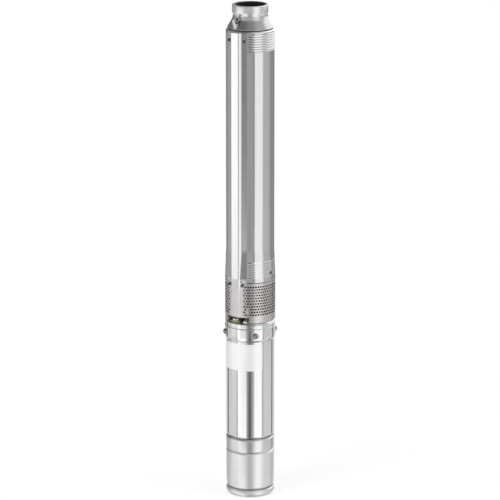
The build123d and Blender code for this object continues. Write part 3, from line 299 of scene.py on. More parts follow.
# Rotor and stator: a turned shaft with a stack of varnished steel laminations and cast end
# rings, inside a second stack whose windings are enamelled copper set in resin.

# Electrical steel: thin sheets stacked, so a dark blue-grey side with lines across the shaft.
laminations = finish("varnished_steel_laminations", ("#3E4147", "#565A61"), (0.35, 0.5),
                     (60, 60, 0.7), depth=0.03)
# Enamelled copper under resin: orange-brown, glossy, with the run of the wires.
copper = finish("enamelled_copper_in_resin", ("#8A4B22", "#6B3517"), (0.2, 0.35), (1.0, 1.0, 9),
                depth=0.1, metallic=0.5, Coat_Weight=0.6)
# Cast aluminium: silver-grey with a faintly grained skin.
aluminium = finish("cast_aluminium", ("#B9BABB", "#A9AAAB"), (0.35, 0.5), (1.0, 1.0, 1.0),
                   depth=0.03)

dress(ground_steel, "motor_shaft")
dress(laminations, "rotor_core", "stator_core")
dress(copper, "upper_winding", "lower_winding")
dress(aluminium, "rotor_end_rings")

# Motor tube: rolled and welded stainless sheet, mirror-polished above the rolled groove that
# grips the lower housing and brushed below it, where the chuck holds it.

TUBE_WALL = 1.2
TUBE_GROOVE = 122.0
BRUSHED_ROUGHNESS = 0.18

tube_r, tube_foot, tube_top = size("motor_shell")

# Polished stainless: mirror bands along the tube, hazed a little by fingerprints, with long
# drawing lines so faint that they only break up the edges of a reflection.
polished_steel = finish("polished_stainless_tube", ("#E2E3E2", "#D8D8D7"), (0.07, 0.12),
                        (1.1, 1.1, 160), depth=0.0015, smudge=0.05)

# The motor's own tube: the same polish, rougher below its groove, with painted shade in the groove.
tube_steel = polished_steel.copy()
tube_steel.name = "part_polished_stainless_tube"
tree = tube_steel.node_tree
height = add(tree, "SeparateXYZ", {0: add(tree, "TexCoord").outputs["Object"]}).outputs["Z"]
brushed = add(tree, "MapRange", {"Value": height, "From Min": (TUBE_GROOVE + 1) / 1000,
                                 "From Max": (TUBE_GROOVE - 1) / 1000, "To Min": 0.0,
                                 "To Max": BRUSHED_ROUGHNESS})
shine = tree.nodes["Principled BSDF"].inputs["Roughness"]
total = add(tree, "Math", {0: shine.links[0].from_socket, 1: brushed.outputs[0]},
            operation="ADD")
tree.links.new(total.outputs[0], shine)
grimed(tube_steel, tube_r, GRIME_DEPTH)

tube_line = [(tube_r - GROOVE_DEPTH, tube_foot), (tube_r, tube_foot + 3)]
tube_line += grooved(tube_r, TUBE_GROOVE)
tube_line += [(tube_r, TUBE_GROOVE + 2 * GROOVE_HALF), (tube_r, TUBE_GROOVE + 3 * GROOVE_HALF),
              (tube_r, tube_top - 1), (tube_r, tube_top)]
tube_inside = [(tube_r - TUBE_WALL, tube_top), (tube_r - 2 * TUBE_WALL, tube_foot)]
lathe("motor_tube", np.concatenate([rounded(tube_line, ROLL_ROUND, 8), tube_inside]), "pump",
      "motor_steel", ["motor_shell"], tube_steel)

# Upper bearing housing under the motor's cover: an iron casting with the carbon journal
# bearing, the shaft seal, a rubber disc that throws sand off it and a slotted filling plug.

dress(cast_iron, "upper_bearing_housing")
dress(carbon, "upper_journal_bearing")
dress(rubber, "shaft_seal", "sand_slinger")
dress(ground_steel, "filling_plug")

# Motor cover: one pressing of stainless sheet, polished, that widens above the tube to an
# upright wall over the upper bearing housing, and turns in at the top round the mounting face.

PILOT_R = 43.8
BELL_FOOT_RUN = 4.5
BELL_EDGE = 0.6
BELL_SEAM = 0.3
BELL_ROUND = 1.3

bell_r, bell_foot, bell_top = size("motor_top_cover")
bell_wall_r = bell_r - BELL_SEAM
bell_line = rounded([
    (tube_r - BELL_SEAM, bell_foot), (tube_r + BELL_SEAM, bell_foot + 2 * BELL_SEAM),
    (bell_wall_r - 0.1, bell_foot + BELL_FOOT_RUN), (bell_wall_r, bell_foot + 2 * BELL_FOOT_RUN),
    (bell_wall_r, bell_top - 2), (bell_wall_r, bell_top - BELL_EDGE),
    (bell_wall_r - BELL_EDGE, bell_top), (PILOT_R, bell_top)], BELL_ROUND, 6)
bell_inside = [(PILOT_R, bell_top - TUBE_WALL), (tube_r - TUBE_WALL, bell_top - 2 * TUBE_WALL),
               (tube_r - TUBE_WALL, bell_foot)]
lathe("motor_bell", np.concatenate([bell_line, bell_inside]), "pump", "motor_steel",
      ["motor_top_cover"], polished_steel)

# Cover screws: four stainless button-head screws on washers, a quarter turn apart, that hold the
# cover to the upper bearing housing. They are driven by hexagon sockets.

COVER_SCREW_AZIMUTH = 47.0
COVER_SCREW_RISE = 13.5
COVER_SCREW_SINK = 0.3
COVER_HEAD_R = 4.8
COVER_HEAD = 3.2
COVER_SOCKET = 4.0
WASHER_R = 6.3
WASHER_BORE_R = 3.78
WASHER = 0.9


def screw_grid(head_r, head, socket):
    """A domed screw head with a hexagon socket, along local Z from its seat.

    A rim of 35 % of the head's height carries the dome, a quarter of an ellipse that ends at
    55 % of its radius, and the socket is 70 to 75 % of the head deep.
    """
    a = circle(48)
    flats = socket / 2 / np.cos(np.mod(a, np.pi / 3) - np.pi / 6)
    t = np.linspace(0.15, 1, 6) * np.pi / 2
    dome_r = head_r - 0.45 * head_r * (1 - np.cos(t))
    dome_z = head * 0.35 + head * 0.65 * np.sin(t)
    outside_r = np.concatenate([[0.5 * head_r, head_r, head_r], dome_r])
    outside_z = np.concatenate([[-0.4, -0.4, head * 0.35], dome_z])
    radii = np.concatenate([outside_r + 0 * a, flats * [1.08, 1.0, 0.96, 0.0]], axis=1)
    heights = np.concatenate([outside_z, [head, head - 0.15, head * 0.3, head * 0.25]])
    return np.stack(np.broadcast_arrays(radii * np.cos(a), radii * np.sin(a), heights), -1)


def facing(grid, azimuth, radius, height):
    """Turn a grid's local Z outwards and set it on the side of the pump."""
    b = math.radians(azimuth)
    x, y, z = np.moveaxis(grid, -1, 0)
    out = radius + z
    return np.stack([out * math.sin(b) + x * math.cos(b), x * math.sin(b) - out * math.cos(b),
                     height + y], -1)


def formed(name, sheets, slot, nodes, material, sharp=35, outward=True):
    """A piece of the standing pump, made of closed grids of points."""
    return piece(name, mesh_of(name, sheets, sharp, outward), "pump", slot, nodes, material)


# Cover screws: painted shade, a plain mid grey, less bright than the cover round them.
cover_screw_steel = finish("shade_painted_cover_screw", ("#86898A", "#AEB0AF"), (0.2, 0.32),
                           (0.8, 0.8, 0.8), depth=0.01)

cover_screw = screw_grid(COVER_HEAD_R, COVER_HEAD, COVER_SOCKET) + [0, 0, WASHER]
washer = turned([(WASHER_R, 0), (WASHER_R, WASHER), (WASHER_BORE_R, WASHER),
                 (WASHER_BORE_R, 0)], 48)
sheets = [(facing(grid, COVER_SCREW_AZIMUTH + turn, bell_wall_r - COVER_SCREW_SINK,
                  bell_foot + COVER_SCREW_RISE), True, closed)
          for turn in (0, 90, 180, 270) for grid, closed in ((cover_screw, False), (washer, True))]
formed("cover_screw_heads", sheets, "fasteners", [], cover_screw_steel)

# Rating plate on the motor's tube: a strip of silver foil with rounded corners, left blank.
# It is rolled on over the polish and bends round more than a third of the tube.

PLATE_SPREAD = 65.0
PLATE_FOOT = 262.0
PLATE_HEIGHT = 54.0
PLATE_CORNER = 3.0
PLATE_THICKNESS = 0.12


def applied(mesh, *modifiers):
    """The mesh that a row of modifiers makes of this one; each is a kind and its settings."""
    work = placed("work", mesh)
    for kind, settings in modifiers:
        modifier = work.modifiers.new(kind, kind)
        for name, value in settings.items():
            setattr(modifier, name, value)
    bpy.context.view_layer.update()
    made = work.evaluated_get(bpy.context.evaluated_depsgraph_get())
    made = bpy.data.meshes.new_from_object(made)
    bpy.data.objects.remove(work)
    return made


def walled(name, grids, wall, sharp, *materials):
    """Give open sheets their wall in mm, inwards; the inner face and rim take the last material."""
    mesh = mesh_of(name, grids, sharp)
    for material in materials:
        mesh.materials.append(material)
    last = len(materials) - 1
    made = applied(mesh, ("SOLIDIFY", {"thickness": wall / 1000, "offset": -1,
                                       "material_offset": last, "material_offset_rim": last}))
    made.shade_smooth()
    made.set_sharp_from_angle(angle=math.radians(sharp))
    return made


# Silver foil: a white metal skin with a soft sheen, much duller than the polish round it.
foil = finish("satin_silver_foil", ("#F1F2F1", "#ECEDED"), (0.34, 0.4), (0.4, 0.4, 0.4),
              depth=0.002, metallic=0.35)

corner = np.linspace(0, PLATE_CORNER, 8)
up = np.concatenate([corner, PLATE_HEIGHT - corner[::-1]])
edge = PLATE_CORNER - np.minimum(np.minimum(up, PLATE_HEIGHT - up), PLATE_CORNER)
cut = PLATE_CORNER - np.sqrt(PLATE_CORNER ** 2 - edge ** 2)
plate_r = tube_r + PLATE_THICKNESS
spread = np.linspace(-1, 1, 97)[:, None] * (math.radians(PLATE_SPREAD) - cut / plate_r)
plate_grid = around_shaft(spread, plate_r, PLATE_FOOT + up)
plate = walled("blank_plate", [(plate_grid, False, False)], PLATE_THICKNESS, 32, foil)
piece("blank_plate", plate, "pump", "motor_steel", [])

# Flange studs and nuts: stainless M8 studs screwed into the upper housing, each with a
# chamfered hexagon nut that clamps the pump end's lantern to the motor.

MOUNT_FACE = 350.0
STUD_CIRCLE_R = 38.1
STUD_R = 3.95
STUD_ROOT_R = 3.25
STUD_PITCH = 1.25
STUD_THREAD = 0.65
STUD_CHAMFER = 0.6
STUD_SUNK = 4.0
FIRST_STUD = 25.0
NUT_AF = 12.7
NUT_HEIGHT = 6.8
NUT_TURN = 30.0
NUT_PLAY = 0.1
LANTERN_PLATE = 5.5


def threaded(radius, pitch, depth, foot, top, steps=48, per_turn=8):
    """A screw thread: r = radius - depth |2 frac(z / pitch - a / 2 pi) - 1|, over rows of a."""
    a = circle(steps)
    z = np.linspace(foot, top, int((top - foot) / pitch * per_turn) + 1)[None, :]
    climb = np.mod(z / pitch - a / (2 * np.pi), 1)
    return around_shaft(a, radius - depth * np.abs(2 * climb - 1), z)


def moved(grid, azimuth, radius, turn=0.0):
    """Turn a grid about its own axis, then stand it at an azimuth beside the shaft."""
    t, b = math.radians(azimuth + turn), math.radians(azimuth)
    x, y, z = np.moveaxis(grid, -1, 0)
    return np.stack([x * math.cos(t) - y * math.sin(t) + radius * math.sin(b),
                     x * math.sin(t) + y * math.cos(t) - radius * math.cos(b), z], -1)


def nut_grid(across, foot, height, bore):
    """A hexagon nut with 30-degree chamfers outside and a plain bore, its upper edge broken.

    r is the smaller of the flats' distance and the radius of a turned profile.
    """
    a = circle(96)
    flats = across / 2 / np.cos(np.mod(a + np.pi / 6, np.pi / 3) - np.pi / 6)
    corner = across / 2 / math.cos(math.pi / 6)
    chamfer = (corner - across / 2) * math.tan(math.pi / 6)
    face = across / 2 * 0.98
    top = foot + height
    r, z = np.array([(face, foot), (corner, foot + chamfer), (corner, top - chamfer),
                     (face, top), (bore + 0.4, top), (bore, top - 0.4), (bore, foot)]).T
    return around_shaft(a, np.minimum(r, flats), z)


# Turned stainless: bar stock, bright and a little hazy, with tool marks round it.
turned_steel = finish("turned_stainless_bar", ("#D4D4D1", "#C3C3C0"), (0.2, 0.32), (8, 8, 0.25),
                      depth=0.004)

stud_top = size("flange_studs")[2]
stud_foot, thread_top = MOUNT_FACE - STUD_SUNK, stud_top - STUD_CHAMFER
thread = threaded(STUD_R, STUD_PITCH, STUD_THREAD, stud_foot, thread_top)
stud_end = turned([(STUD_ROOT_R, thread_top), (STUD_R - 2 * STUD_CHAMFER, stud_top),
                   (0, stud_top)], 48)
stud_start = turned([(0, stud_foot), (STUD_R - STUD_CHAMFER, stud_foot)], 48)
stud = np.concatenate([stud_start, thread, stud_end], axis=1)
nut = nut_grid(NUT_AF, MOUNT_FACE + LANTERN_PLATE, NUT_HEIGHT, STUD_R + NUT_PLAY)
azimuths = [FIRST_STUD + 90 * i for i in range(4)]
formed("stud_set", [(moved(stud, a, STUD_CIRCLE_R), True, False) for a in azimuths],
       "fasteners", ["flange_studs"], turned_steel)
formed("nut_set", [(moved(nut, a, STUD_CIRCLE_R, NUT_TURN), True, True) for a in azimuths],
       "fasteners", ["flange_nuts"], turned_steel)

# Lead socket: a moulded socket in a turned brass sleeve, screwed down by a brass jam nut. It
# stands in the notch under the cable guard and takes the plug of the motor's lead.

LEAD_AZIMUTH = -20.0
LEAD_R = 33.0
SOCKET_R = 8.0
SOCKET_BORE = 5.0
SOCKET_DEPTH = 18.0
JAM_NUT_AF = 19.0
JAM_NUT_HEIGHT = 9.0

# Machined brass: yellow with a green cast from the water, dulled in patches.
brass = finish("dulled_machined_brass", ("#D8D6B2", "#B5B48E"), (0.3, 0.45), (3, 3, 0.8),
               depth=0.01, metallic=0.7, smudge=0.1)
# Nickel-plated brass: a warm white, polished by its tumbling.
nickel = finish("nickel_plated_brass", ("#E6E3DA", "#D6D3C9"), (0.15, 0.25), (3, 3, 0.8),
                depth=0.005, metallic=0.8)

_, socket_foot, socket_top = size("lead_socket")
socket_floor = socket_top - SOCKET_DEPTH
barrel = rounded([(0, socket_foot), (SOCKET_R, socket_foot), (SOCKET_R, socket_top - 1),
                  (SOCKET_R - 1, socket_top), (SOCKET_BORE, socket_top),
                  (SOCKET_BORE, socket_floor), (0, socket_floor)], 0.4, 4)
formed("socket_barrel", [(moved(turned(barrel, 64), LEAD_AZIMUTH, LEAD_R), True, False)],
       "brass_fittings", ["lead_socket"], nickel)
jam = nut_grid(JAM_NUT_AF, MOUNT_FACE, JAM_NUT_HEIGHT, SOCKET_R + NUT_PLAY)
formed("jam_nut", [(moved(jam, LEAD_AZIMUTH, LEAD_R), True, True)], "brass_fittings",
       ["lead_jam_nut"], brass)

# Intake lantern and coupling: an investment casting in stainless steel, blasted, with a rim
# polished like the cover below it. It stands on three legs round the sleeve joining the shafts.

# The rim is found by its faces: near the full radius, upright, and below the strainer.
RIM_SHARE = 0.98
UPRIGHT = 0.5


def smoothed(name, body, slot, node, material):
    """A copy of a CAD node's mesh, merged and smooth-shaded, that stands for the node."""
    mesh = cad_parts[node].data.copy()
    mesh.materials.clear()
    return piece(name, tidy(mesh, 28), body, slot, [node], material)


def face_centres(mesh):
    """The middles of a mesh's faces, as rows of x, y and z in mm."""
    centres = np.empty(3 * len(mesh.polygons))
    mesh.polygons.foreach_get("center", centres)
    return centres.reshape(-1, 3).T * 1000


# Blasted casting: a pale, slightly granular grey that spreads the light evenly.
cast_steel = finish("blasted_stainless_casting", ("#BDBEB9", "#AEAFAA"), (0.34, 0.46),
                    (0.9, 0.9, 0.9), depth=0.02, metallic=0.8)

lantern = smoothed("lantern", "pump", "cast_lantern", "intake_lantern", cast_steel).data
lantern.materials.append(polished_steel)
x, y, z = face_centres(lantern)
normals = np.empty(3 * len(x))
lantern.polygons.foreach_get("normal", normals)
on_rim = np.hypot(x, y) > RIM_SHARE * size("intake_lantern")[0]
on_rim &= (np.abs(normals[2::3]) < UPRIGHT) & (z < size("strainer")[1])
lantern.polygons.foreach_set("material_index", on_rim.astype(np.int32))
smoothed("shaft_coupling", "rotor", "shaft_steel", "coupling", ground_steel)

# Strainer: a rolled sleeve of punched stainless sheet round the lantern, with eleven staggered
# rows of 4 mm holes, a plain band behind the cable guard and a notch for the lead.

HOLE_R = 2.0
HOLE_ROWS = 11
HOLES_ROUND = 60
ROW_PITCH = 5.6
TOP_HEM = 5.0
SLEEVE_GAP = 0.8
SLEEVE_WALL = 0.8
PLAIN_HALF = 18.0
NOTCH_SPAN = (-27.0, 33.0)
NOTCH_HEIGHT = 11.0


def perforated(radius, foot):
    """Punched cells on a cylinder: each is a ring of quads from a square to a round hole.

    A cell's border has 16 points at quarter steps and its hole 16 points in the same directions,
    drawn to the middle where the sheet stays plain. Odd rows are half a step on.
    """
    step = 2 * np.pi / HOLES_ROUND
    side = np.linspace(-0.5, 0.5, 5)[:4]
    u = np.concatenate([side, side * 0 + 0.5, -side, side * 0 - 0.5])
    v = np.concatenate([side * 0 - 0.5, side, side * 0 + 0.5, -side])
    row, column = [n.ravel()[:, None] for n in np.mgrid[:HOLE_ROWS, :HOLES_ROUND]]
    centre = (column + row % 2 / 2) * step - np.pi
    middle = foot + (row + 0.5) * ROW_PITCH
    direction = np.arctan2(v * ROW_PITCH, u * step * radius)
    hole = np.where(np.abs(centre) > math.radians(PLAIN_HALF), HOLE_R, 0.0)
    outer = np.stack([centre + u * step, middle + v * ROW_PITCH], -1)
    inner = np.stack([centre + hole * np.cos(direction) / radius,
                      middle + hole * np.sin(direction)], -1)
    a, z = np.moveaxis(np.stack([outer, inner], 2), -1, 0)
    return around_shaft(a, radius, z)


def hem(foot, top, start=-180, stop=180):
    """A plain band of the sleeve between two azimuths, in quarter steps of the holes."""
    count = int(round((stop - start) / 360 * HOLES_ROUND * 4))
    a = np.radians(np.linspace(start, stop, count + 1))[:, None]
    return around_shaft(a, sleeve_r, np.array([foot, top], float)), False, False


# Punched sheet: pickled, so duller and a touch warmer than the polished tubes.
sheet_steel = finish("pickled_punched_sheet", ("#D8D2D2", "#CBC5C5"), (0.26, 0.34),
                     (1.4, 1.4, 25), depth=0.006, smudge=0.06)
# Painted shade: the sleeve's inner face and the holes' edges are a dark, dull grey, so that the
# holes look dark.
mill_scale = finish("shade_painted_sleeve_inside", ("#2E2C2B", "#3A3836"), (0.5, 0.65), (2, 2, 6),
                    depth=0.01, metallic=0.4)

sleeve_r, sleeve_foot, sleeve_top = size("strainer")
cells_top = sleeve_top - TOP_HEM
cells_foot = cells_top - HOLE_ROWS * ROW_PITCH
notch_top = sleeve_foot + NOTCH_HEIGHT
sheets = [(cell, True, False) for cell in perforated(sleeve_r, cells_foot)]
sheets += [hem(cells_top, sleeve_top - SLEEVE_GAP), hem(notch_top, cells_foot),
           hem(sleeve_foot, notch_top, NOTCH_SPAN[1], NOTCH_SPAN[0] + 360)]
sleeve = walled("strainer_sleeve", sheets, SLEEVE_WALL, 32, sheet_steel, mill_scale)
piece("strainer_sleeve", sleeve, "pump", "strainer_steel", ["strainer"])

# Pump stages: moulded plastic impellers on a hexagon steel shaft, each in its own diffuser
# bowl with a steel wear ring round its eye and a rubber bearing in its hub.

# Glass-filled plastic: moulded black with a fine matt skin.
black_plastic = finish("glass_filled_black_plastic", ("#1B1C1E", "#222325"), (0.38, 0.5),
                       (0.5, 0.5, 0.5), depth=0.01, metallic=0.0)

dress(black_plastic, *[f"{part}_{i + 1}" for part in ("impeller", "stage_bowl") for i in range(6)])
dress(turned_steel, "neck_rings", "shaft_nut", "top_bearing_bracket")
dress(ground_steel, "pump_shaft", "top_sleeve")
dress(rubber, "stage_bearings", "top_bearing_bush")

# Pump shell: polished stainless tube round the stages, with rolled rings where it is screwed
# to the head and to the lantern, a slight swell above the foot and a flared lip.

SHELL_R = 46.85
SHELL_WALL = 1.75
RING_PITCH = 4.7
RING_CREST = 0.25
RING_MARGIN = 1.5
TOP_RINGS = 7
TOP_RING_DEPTH = 0.9
FOOT_RINGS = 6
FOOT_RING_DEPTH = 0.16
FOOT_RING_POWER = 0.35
RIM_HEIGHT = 7.0
RIM_DROP = 2.0
RIM_CURL = 2.1
RIM_ROUND = 0.6
SWELL_R = 47.8
SWELL_RUN = 20.0
SWELL_ROUND = 6.0
LIP_HEIGHT = 9.0
LIP_ROUND = 1.0
LIP_EDGE = 0.9
LIP_TAPER = 0.25


def rings(foot, count, crest, depth, power=0.8, flare=0.0):
    """Rolled rings over n of N pitches, with a share of the flare that falls as n rises.

    r = crest + flare (1 - n / N) - depth (1 - |sin(pi n)|^power), and z = foot + n pitches.
    """
    n = np.linspace(0, count, count * 14 + 1)
    wave = crest + flare * (1 - n / count) - depth * (1 - np.abs(np.sin(np.pi * n)) ** power)
    return np.stack([wave, foot + n * RING_PITCH], -1)


lip_r, shell_foot, shell_top = size("pump_shell")
lip_top = shell_foot + LIP_HEIGHT
foot_rings = lip_top + RING_MARGIN
swell_top = foot_rings + FOOT_RINGS * RING_PITCH
swell_end = swell_top + SWELL_RUN
rim_foot, rim_top = shell_top - RIM_HEIGHT, shell_top - RIM_DROP
top_rings = rim_foot - TOP_RINGS * RING_PITCH
neck_r, bore_r, socket_r = lip_r - LIP_TAPER, SHELL_R - SHELL_WALL, lip_r - SHELL_WALL
lip_line = rounded([(lip_r - LIP_EDGE, shell_foot), (lip_r, shell_foot + LIP_EDGE),
                    (lip_r - 0.05, shell_foot + 2.5), (lip_r - 0.2, lip_top - 1.5),
                    (neck_r, lip_top), (neck_r - FOOT_RING_DEPTH, foot_rings)], LIP_ROUND,
                   6)[:-1]
run = rounded([(SWELL_R - 0.1, swell_top + 1), (SWELL_R, swell_top + 3), (SHELL_R, swell_end),
               (SHELL_R, swell_end + SWELL_RUN)], SWELL_ROUND, 8)
# Points close to both ends of the long straight run keep its smooth shading straight.
straight = [(SHELL_R, top_rings - below) for below in (SWELL_RUN, 1.5, 1)]
rim = rounded([(SHELL_R, rim_foot + 0.7), (SHELL_R, rim_foot + 1.4), (SHELL_R, rim_top - RIM_CURL),
               (SHELL_R - RIM_CURL, rim_top), (bore_r - RIM_CURL, rim_top),
               (bore_r, rim_foot)], RIM_ROUND, 5)
shell_line = np.concatenate([
    lip_line, rings(foot_rings, FOOT_RINGS, SWELL_R, FOOT_RING_DEPTH, FOOT_RING_POWER,
                    neck_r - SWELL_R), run, straight,
    rings(top_rings, TOP_RINGS, SHELL_R + RING_CREST, TOP_RING_DEPTH), rim,
    [(bore_r, shell_foot + 12), (socket_r, shell_foot + 8), (socket_r, shell_foot)]])
lathe("pump_tube", shell_line, "pump", "polished_shell", ["pump_shell"], polished_steel)

# Lock screws: two stainless button-head screws through the shell into the lantern, with
# hexagon sockets, that keep the shell from turning loose.

LOCK_RISE = 16.5
LOCK_HEAD_R = 3.8
LOCK_HEAD = 1.6
LOCK_SOCKET = 2.6

# Cold-headed screws: painted shade, a dark grey mottled with a lighter one, so that the heads read
# darker than the sheet.
screw_steel = finish("shade_painted_stainless_screw", ("#4C4C4F", "#8E8E90"), (0.15, 0.3),
                     (0.8, 0.8, 0.8), depth=0.01)

lock = screw_grid(LOCK_HEAD_R, LOCK_HEAD, LOCK_SOCKET)
sheets = [(facing(lock, azimuth, SWELL_R, shell_foot + LOCK_RISE), True, False)
          for azimuth in (-90, 90)]
formed("lock_screw_heads", sheets, "fasteners", ["lock_screws"], screw_steel, outward=False)

# Check valve in the head: a moulded seat and cage, a guided poppet with a rubber sealing ring
# and a light steel spring round its stem, seen from above through the outlet.

SPRING_R = 6.0
WIRE_R = 0.5
COILS = 4


def coil(radius, wire, foot, top, turns):
    """A helix of round wire: centre (R sin t, -R cos t, z + climb t), ring r(n cos p + b sin p)."""
    t = np.linspace(0, 2 * np.pi * turns, 48 * turns + 1)[:, None]
    p = circle(12).T
    climb = (top - foot - 2 * wire) / (2 * np.pi * turns)
    out = radius + wire * np.cos(p)
    lean = wire * np.sin(p) * climb / radius
    x = out * np.sin(t) - lean * np.cos(t)
    y = -out * np.cos(t) - lean * np.sin(t)
    return np.stack([x, y, foot + wire + climb * t + wire * np.sin(p)], -1)


smoothed("valve_cup", "pump", "valve_plastic", "valve_seat", black_plastic)
smoothed("valve_spider", "pump", "valve_plastic", "valve_cage", black_plastic)
smoothed("poppet_body", "poppet", "plastic_stages", "valve_poppet", black_plastic)
smoothed("poppet_seal", "poppet", "bearing_rubber", "valve_seal", rubber)
_, spring_foot, spring_top = size("valve_spring")
spring = coil(SPRING_R, WIRE_R, spring_foot, spring_top, COILS)
valve_coil = formed("valve_coil", [(spring, False, True)], "fasteners", ["valve_spring"],
                    turned_steel, 60)
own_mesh(valve_coil)

# Discharge head: a stainless casting with a conical shoulder and two rope ears, blasted, then
# turned and threaded at its collar for the rising main. Its spigot stands in the shell, and a
# narrow groove is left between the shell's rim and the cone.

CONE_R = 44.45
CONE_EDGE = 0.6
CONE_GROOVE = 2.6
CONE_GROOVE_TOP = 2.0
CONE_WALL = 3.0
NECK_R = 33.5
NECK_Z = 954.5
NECK_HEIGHT = 7.5
NECK_FILLET = 5.5
COLLAR_FOOT = 965.0
COLLAR_R = 34.75
COLLAR_EDGE = 0.9
THREAD_MINOR = 28.33
THREAD_DEPTH = 1.48
THREAD_PITCH = 2.309
THREAD_FOOT = 956.0
THREAD_ENTRY = 1.9
SPIGOT_PLAY = 0.2
# The way up is a straight bore between these two heights, then a taper to the thread.
WATERWAY = (924.5, 932.5)
WATERWAY_R = 34.93
# The turned skin and the casting run this far into each other.
OVERLAP = 0.3
EAR_HOLE_R = 4.9
EAR_RING_R = 7.2
EAR_AT = (40.8, 952.5)
EAR_THICK = 7.0
EAR_EDGE = 1.6
EAR_ROOT = 2.0
EAR_AZIMUTH = -8.0
CAST_VOXEL = 0.5


def ear(azimuth):
    """A rope ear: a plate with rounded edges between its hole and an outline about the hole.

    The outline is the ring's radius over its outer side, and elsewhere the nearest of four
    straight edges, d / cos(a - n): two tangents, the root's foot and a line inside the cone.
    """
    a = np.linspace(-np.pi, np.pi, 96, endpoint=False)[:, None]
    at = np.array(EAR_AT)
    corners = np.array([(CONE_R - EAR_ROOT, cone_foot + 0.5), (NECK_R - EAR_ROOT, NECK_Z)]) - at
    reach = np.hypot(*corners.T)
    bearing = np.arctan2(corners[:, 1], corners[:, 0])
    lean = np.arccos(EAR_RING_R / reach)
    outer_n, upper_n = bearing[0] + lean[0], bearing[1] - lean[1]
    normals = np.array([outer_n, upper_n, -np.pi / 2, np.pi])
    away = np.array([EAR_RING_R, EAR_RING_R, at[1] - cone_foot - 0.5, at[0] - NECK_R + EAR_ROOT])
    slope = np.cos(a - normals)
    rim = np.min(np.where(slope > 0.05, away / np.maximum(slope, 0.05), 99), axis=1)[:, None]
    rim = np.where((a > outer_n) & (a < upper_n), EAR_RING_R, rim)
    corner = np.repeat([[1, -1], [1, 1], [-1, 1], [-1, -1]], 5, axis=0)
    arc = np.concatenate([np.linspace(q, q + 0.5, 5) for q in (-0.5, 0, 0.5, 1)]) * np.pi
    middle = np.where(corner[:, 0] > 0, rim - EAR_EDGE, EAR_HOLE_R + EAR_EDGE)
    r = middle + EAR_EDGE * np.cos(arc)
    side = corner[:, 1] * (EAR_THICK / 2 - EAR_EDGE) + EAR_EDGE * np.sin(arc)
    out, up = at[0] + r * np.cos(a), at[1] + r * np.sin(a)
    b = math.radians(azimuth)
    return np.stack([out * math.sin(b) + side * math.cos(b),
                     side * math.sin(b) - out * math.cos(b), up], -1)


# Blasted head casting: paler and smoother than the lantern's, with soft highlights.
head_cast = finish("blasted_head_casting", ("#D2D2D1", "#C4C4C3"), (0.22, 0.32),
                   (1.1, 1.1, 1.1), depth=0.02, smudge=0.05)
# Turned collar: bright metal with the lathe's fine rings.
collar_steel = finish("turned_head_collar", ("#E4E4E3", "#DADAD9"), (0.22, 0.28), (30, 30, 0.3),
                      depth=0.003, metallic=0.9, smudge=0.03)
# Threaded bore: painted shade, a dark grey on its thread, as on the ears' eyes and in the groove
# under the cone.
bore_skin = finish("shade_painted_threaded_bore", ("#343435", "#48484A"), (0.35, 0.5), (2, 2, 2),
                   depth=0.01, metallic=0.7)
# Rubbed ears: the rope has polished the casting's skin, so edges catch sharp lights and darks.
rubbed_cast = finish("rope_rubbed_casting", ("#E2E2E1", "#CFCFCE"), (0.08, 0.16),
                     (0.9, 0.9, 0.9), depth=0.01)

outlet = size("discharge_head")[2]
cone_foot, neck_top = rim_top + CONE_GROOVE_TOP, NECK_Z + NECK_HEIGHT
spigot_r, groove_r = bore_r - SPIGOT_PLAY, CONE_R - CONE_GROOVE
inner_foot, inner_neck = groove_r - CONE_WALL, NECK_R - CONE_WALL
cone_line = rounded([(CONE_R - CONE_EDGE, cone_foot), (CONE_R, cone_foot + CONE_EDGE),
                     (NECK_R, NECK_Z), (NECK_R, NECK_Z + 2 * NECK_HEIGHT)], NECK_FILLET, 10)
casting_line = np.concatenate([[(inner_foot, cone_foot)], cone_line[:-1], [
    (NECK_R, neck_top), (inner_neck, neck_top), (inner_neck, NECK_Z - 2)]])
casting = [turned(casting_line, 224), ear(EAR_AZIMUTH), ear(EAR_AZIMUTH + 180)]
cast_mesh = applied(mesh_of("casting", [(grid, True, True) for grid in casting], outward=True),
                    ("REMESH", {"mode": "VOXEL", "voxel_size": CAST_VOXEL / 1000}),
                    ("SMOOTH", {"factor": 0.5, "iterations": 5}))
cast_mesh.shade_smooth()

collar_outside = rounded([
    (NECK_R - 1, neck_top - 1.5), (NECK_R + 0.1, neck_top - 1.5), (NECK_R + 0.1, neck_top),
    (COLLAR_R, COLLAR_FOOT), (COLLAR_R, outlet - COLLAR_EDGE), (COLLAR_R - COLLAR_EDGE, outlet),
    (THREAD_MINOR + THREAD_ENTRY, outlet), (THREAD_MINOR + 0.1, outlet - 1.8)], 0.5, 4)
bore = threaded(THREAD_MINOR, THREAD_PITCH, -THREAD_DEPTH, THREAD_FOOT, outlet - 2.0, 192, 10)
below = [(THREAD_MINOR, THREAD_FOOT - 1), (WATERWAY_R, WATERWAY[1]), (WATERWAY_R, WATERWAY[0]),
         (spigot_r, WATERWAY[0]), (spigot_r, rim_foot), (spigot_r - RIM_CURL, rim_top),
         (groove_r, rim_top + 0.1), (groove_r, cone_foot + OVERLAP),
         (inner_foot, cone_foot + OVERLAP), (NECK_R - 2.5, NECK_Z + 2)]
collar = np.concatenate([turned(collar_outside), bore[:, ::-1], turned(below)], axis=1)
collar_mesh = mesh_of("collar", [(collar, True, True)], 35, True)

# The remeshed casting and the turned skin over its machined faces make one piece. Its faces get
# their finish by place: 0 blasted, 1 turned, 2 painted shade, 3 rubbed.
joined = bmesh.new()
joined.from_mesh(cast_mesh)
joined.from_mesh(collar_mesh)
head_mesh = bpy.data.meshes.new("head")
joined.to_mesh(head_mesh)
joined.free()

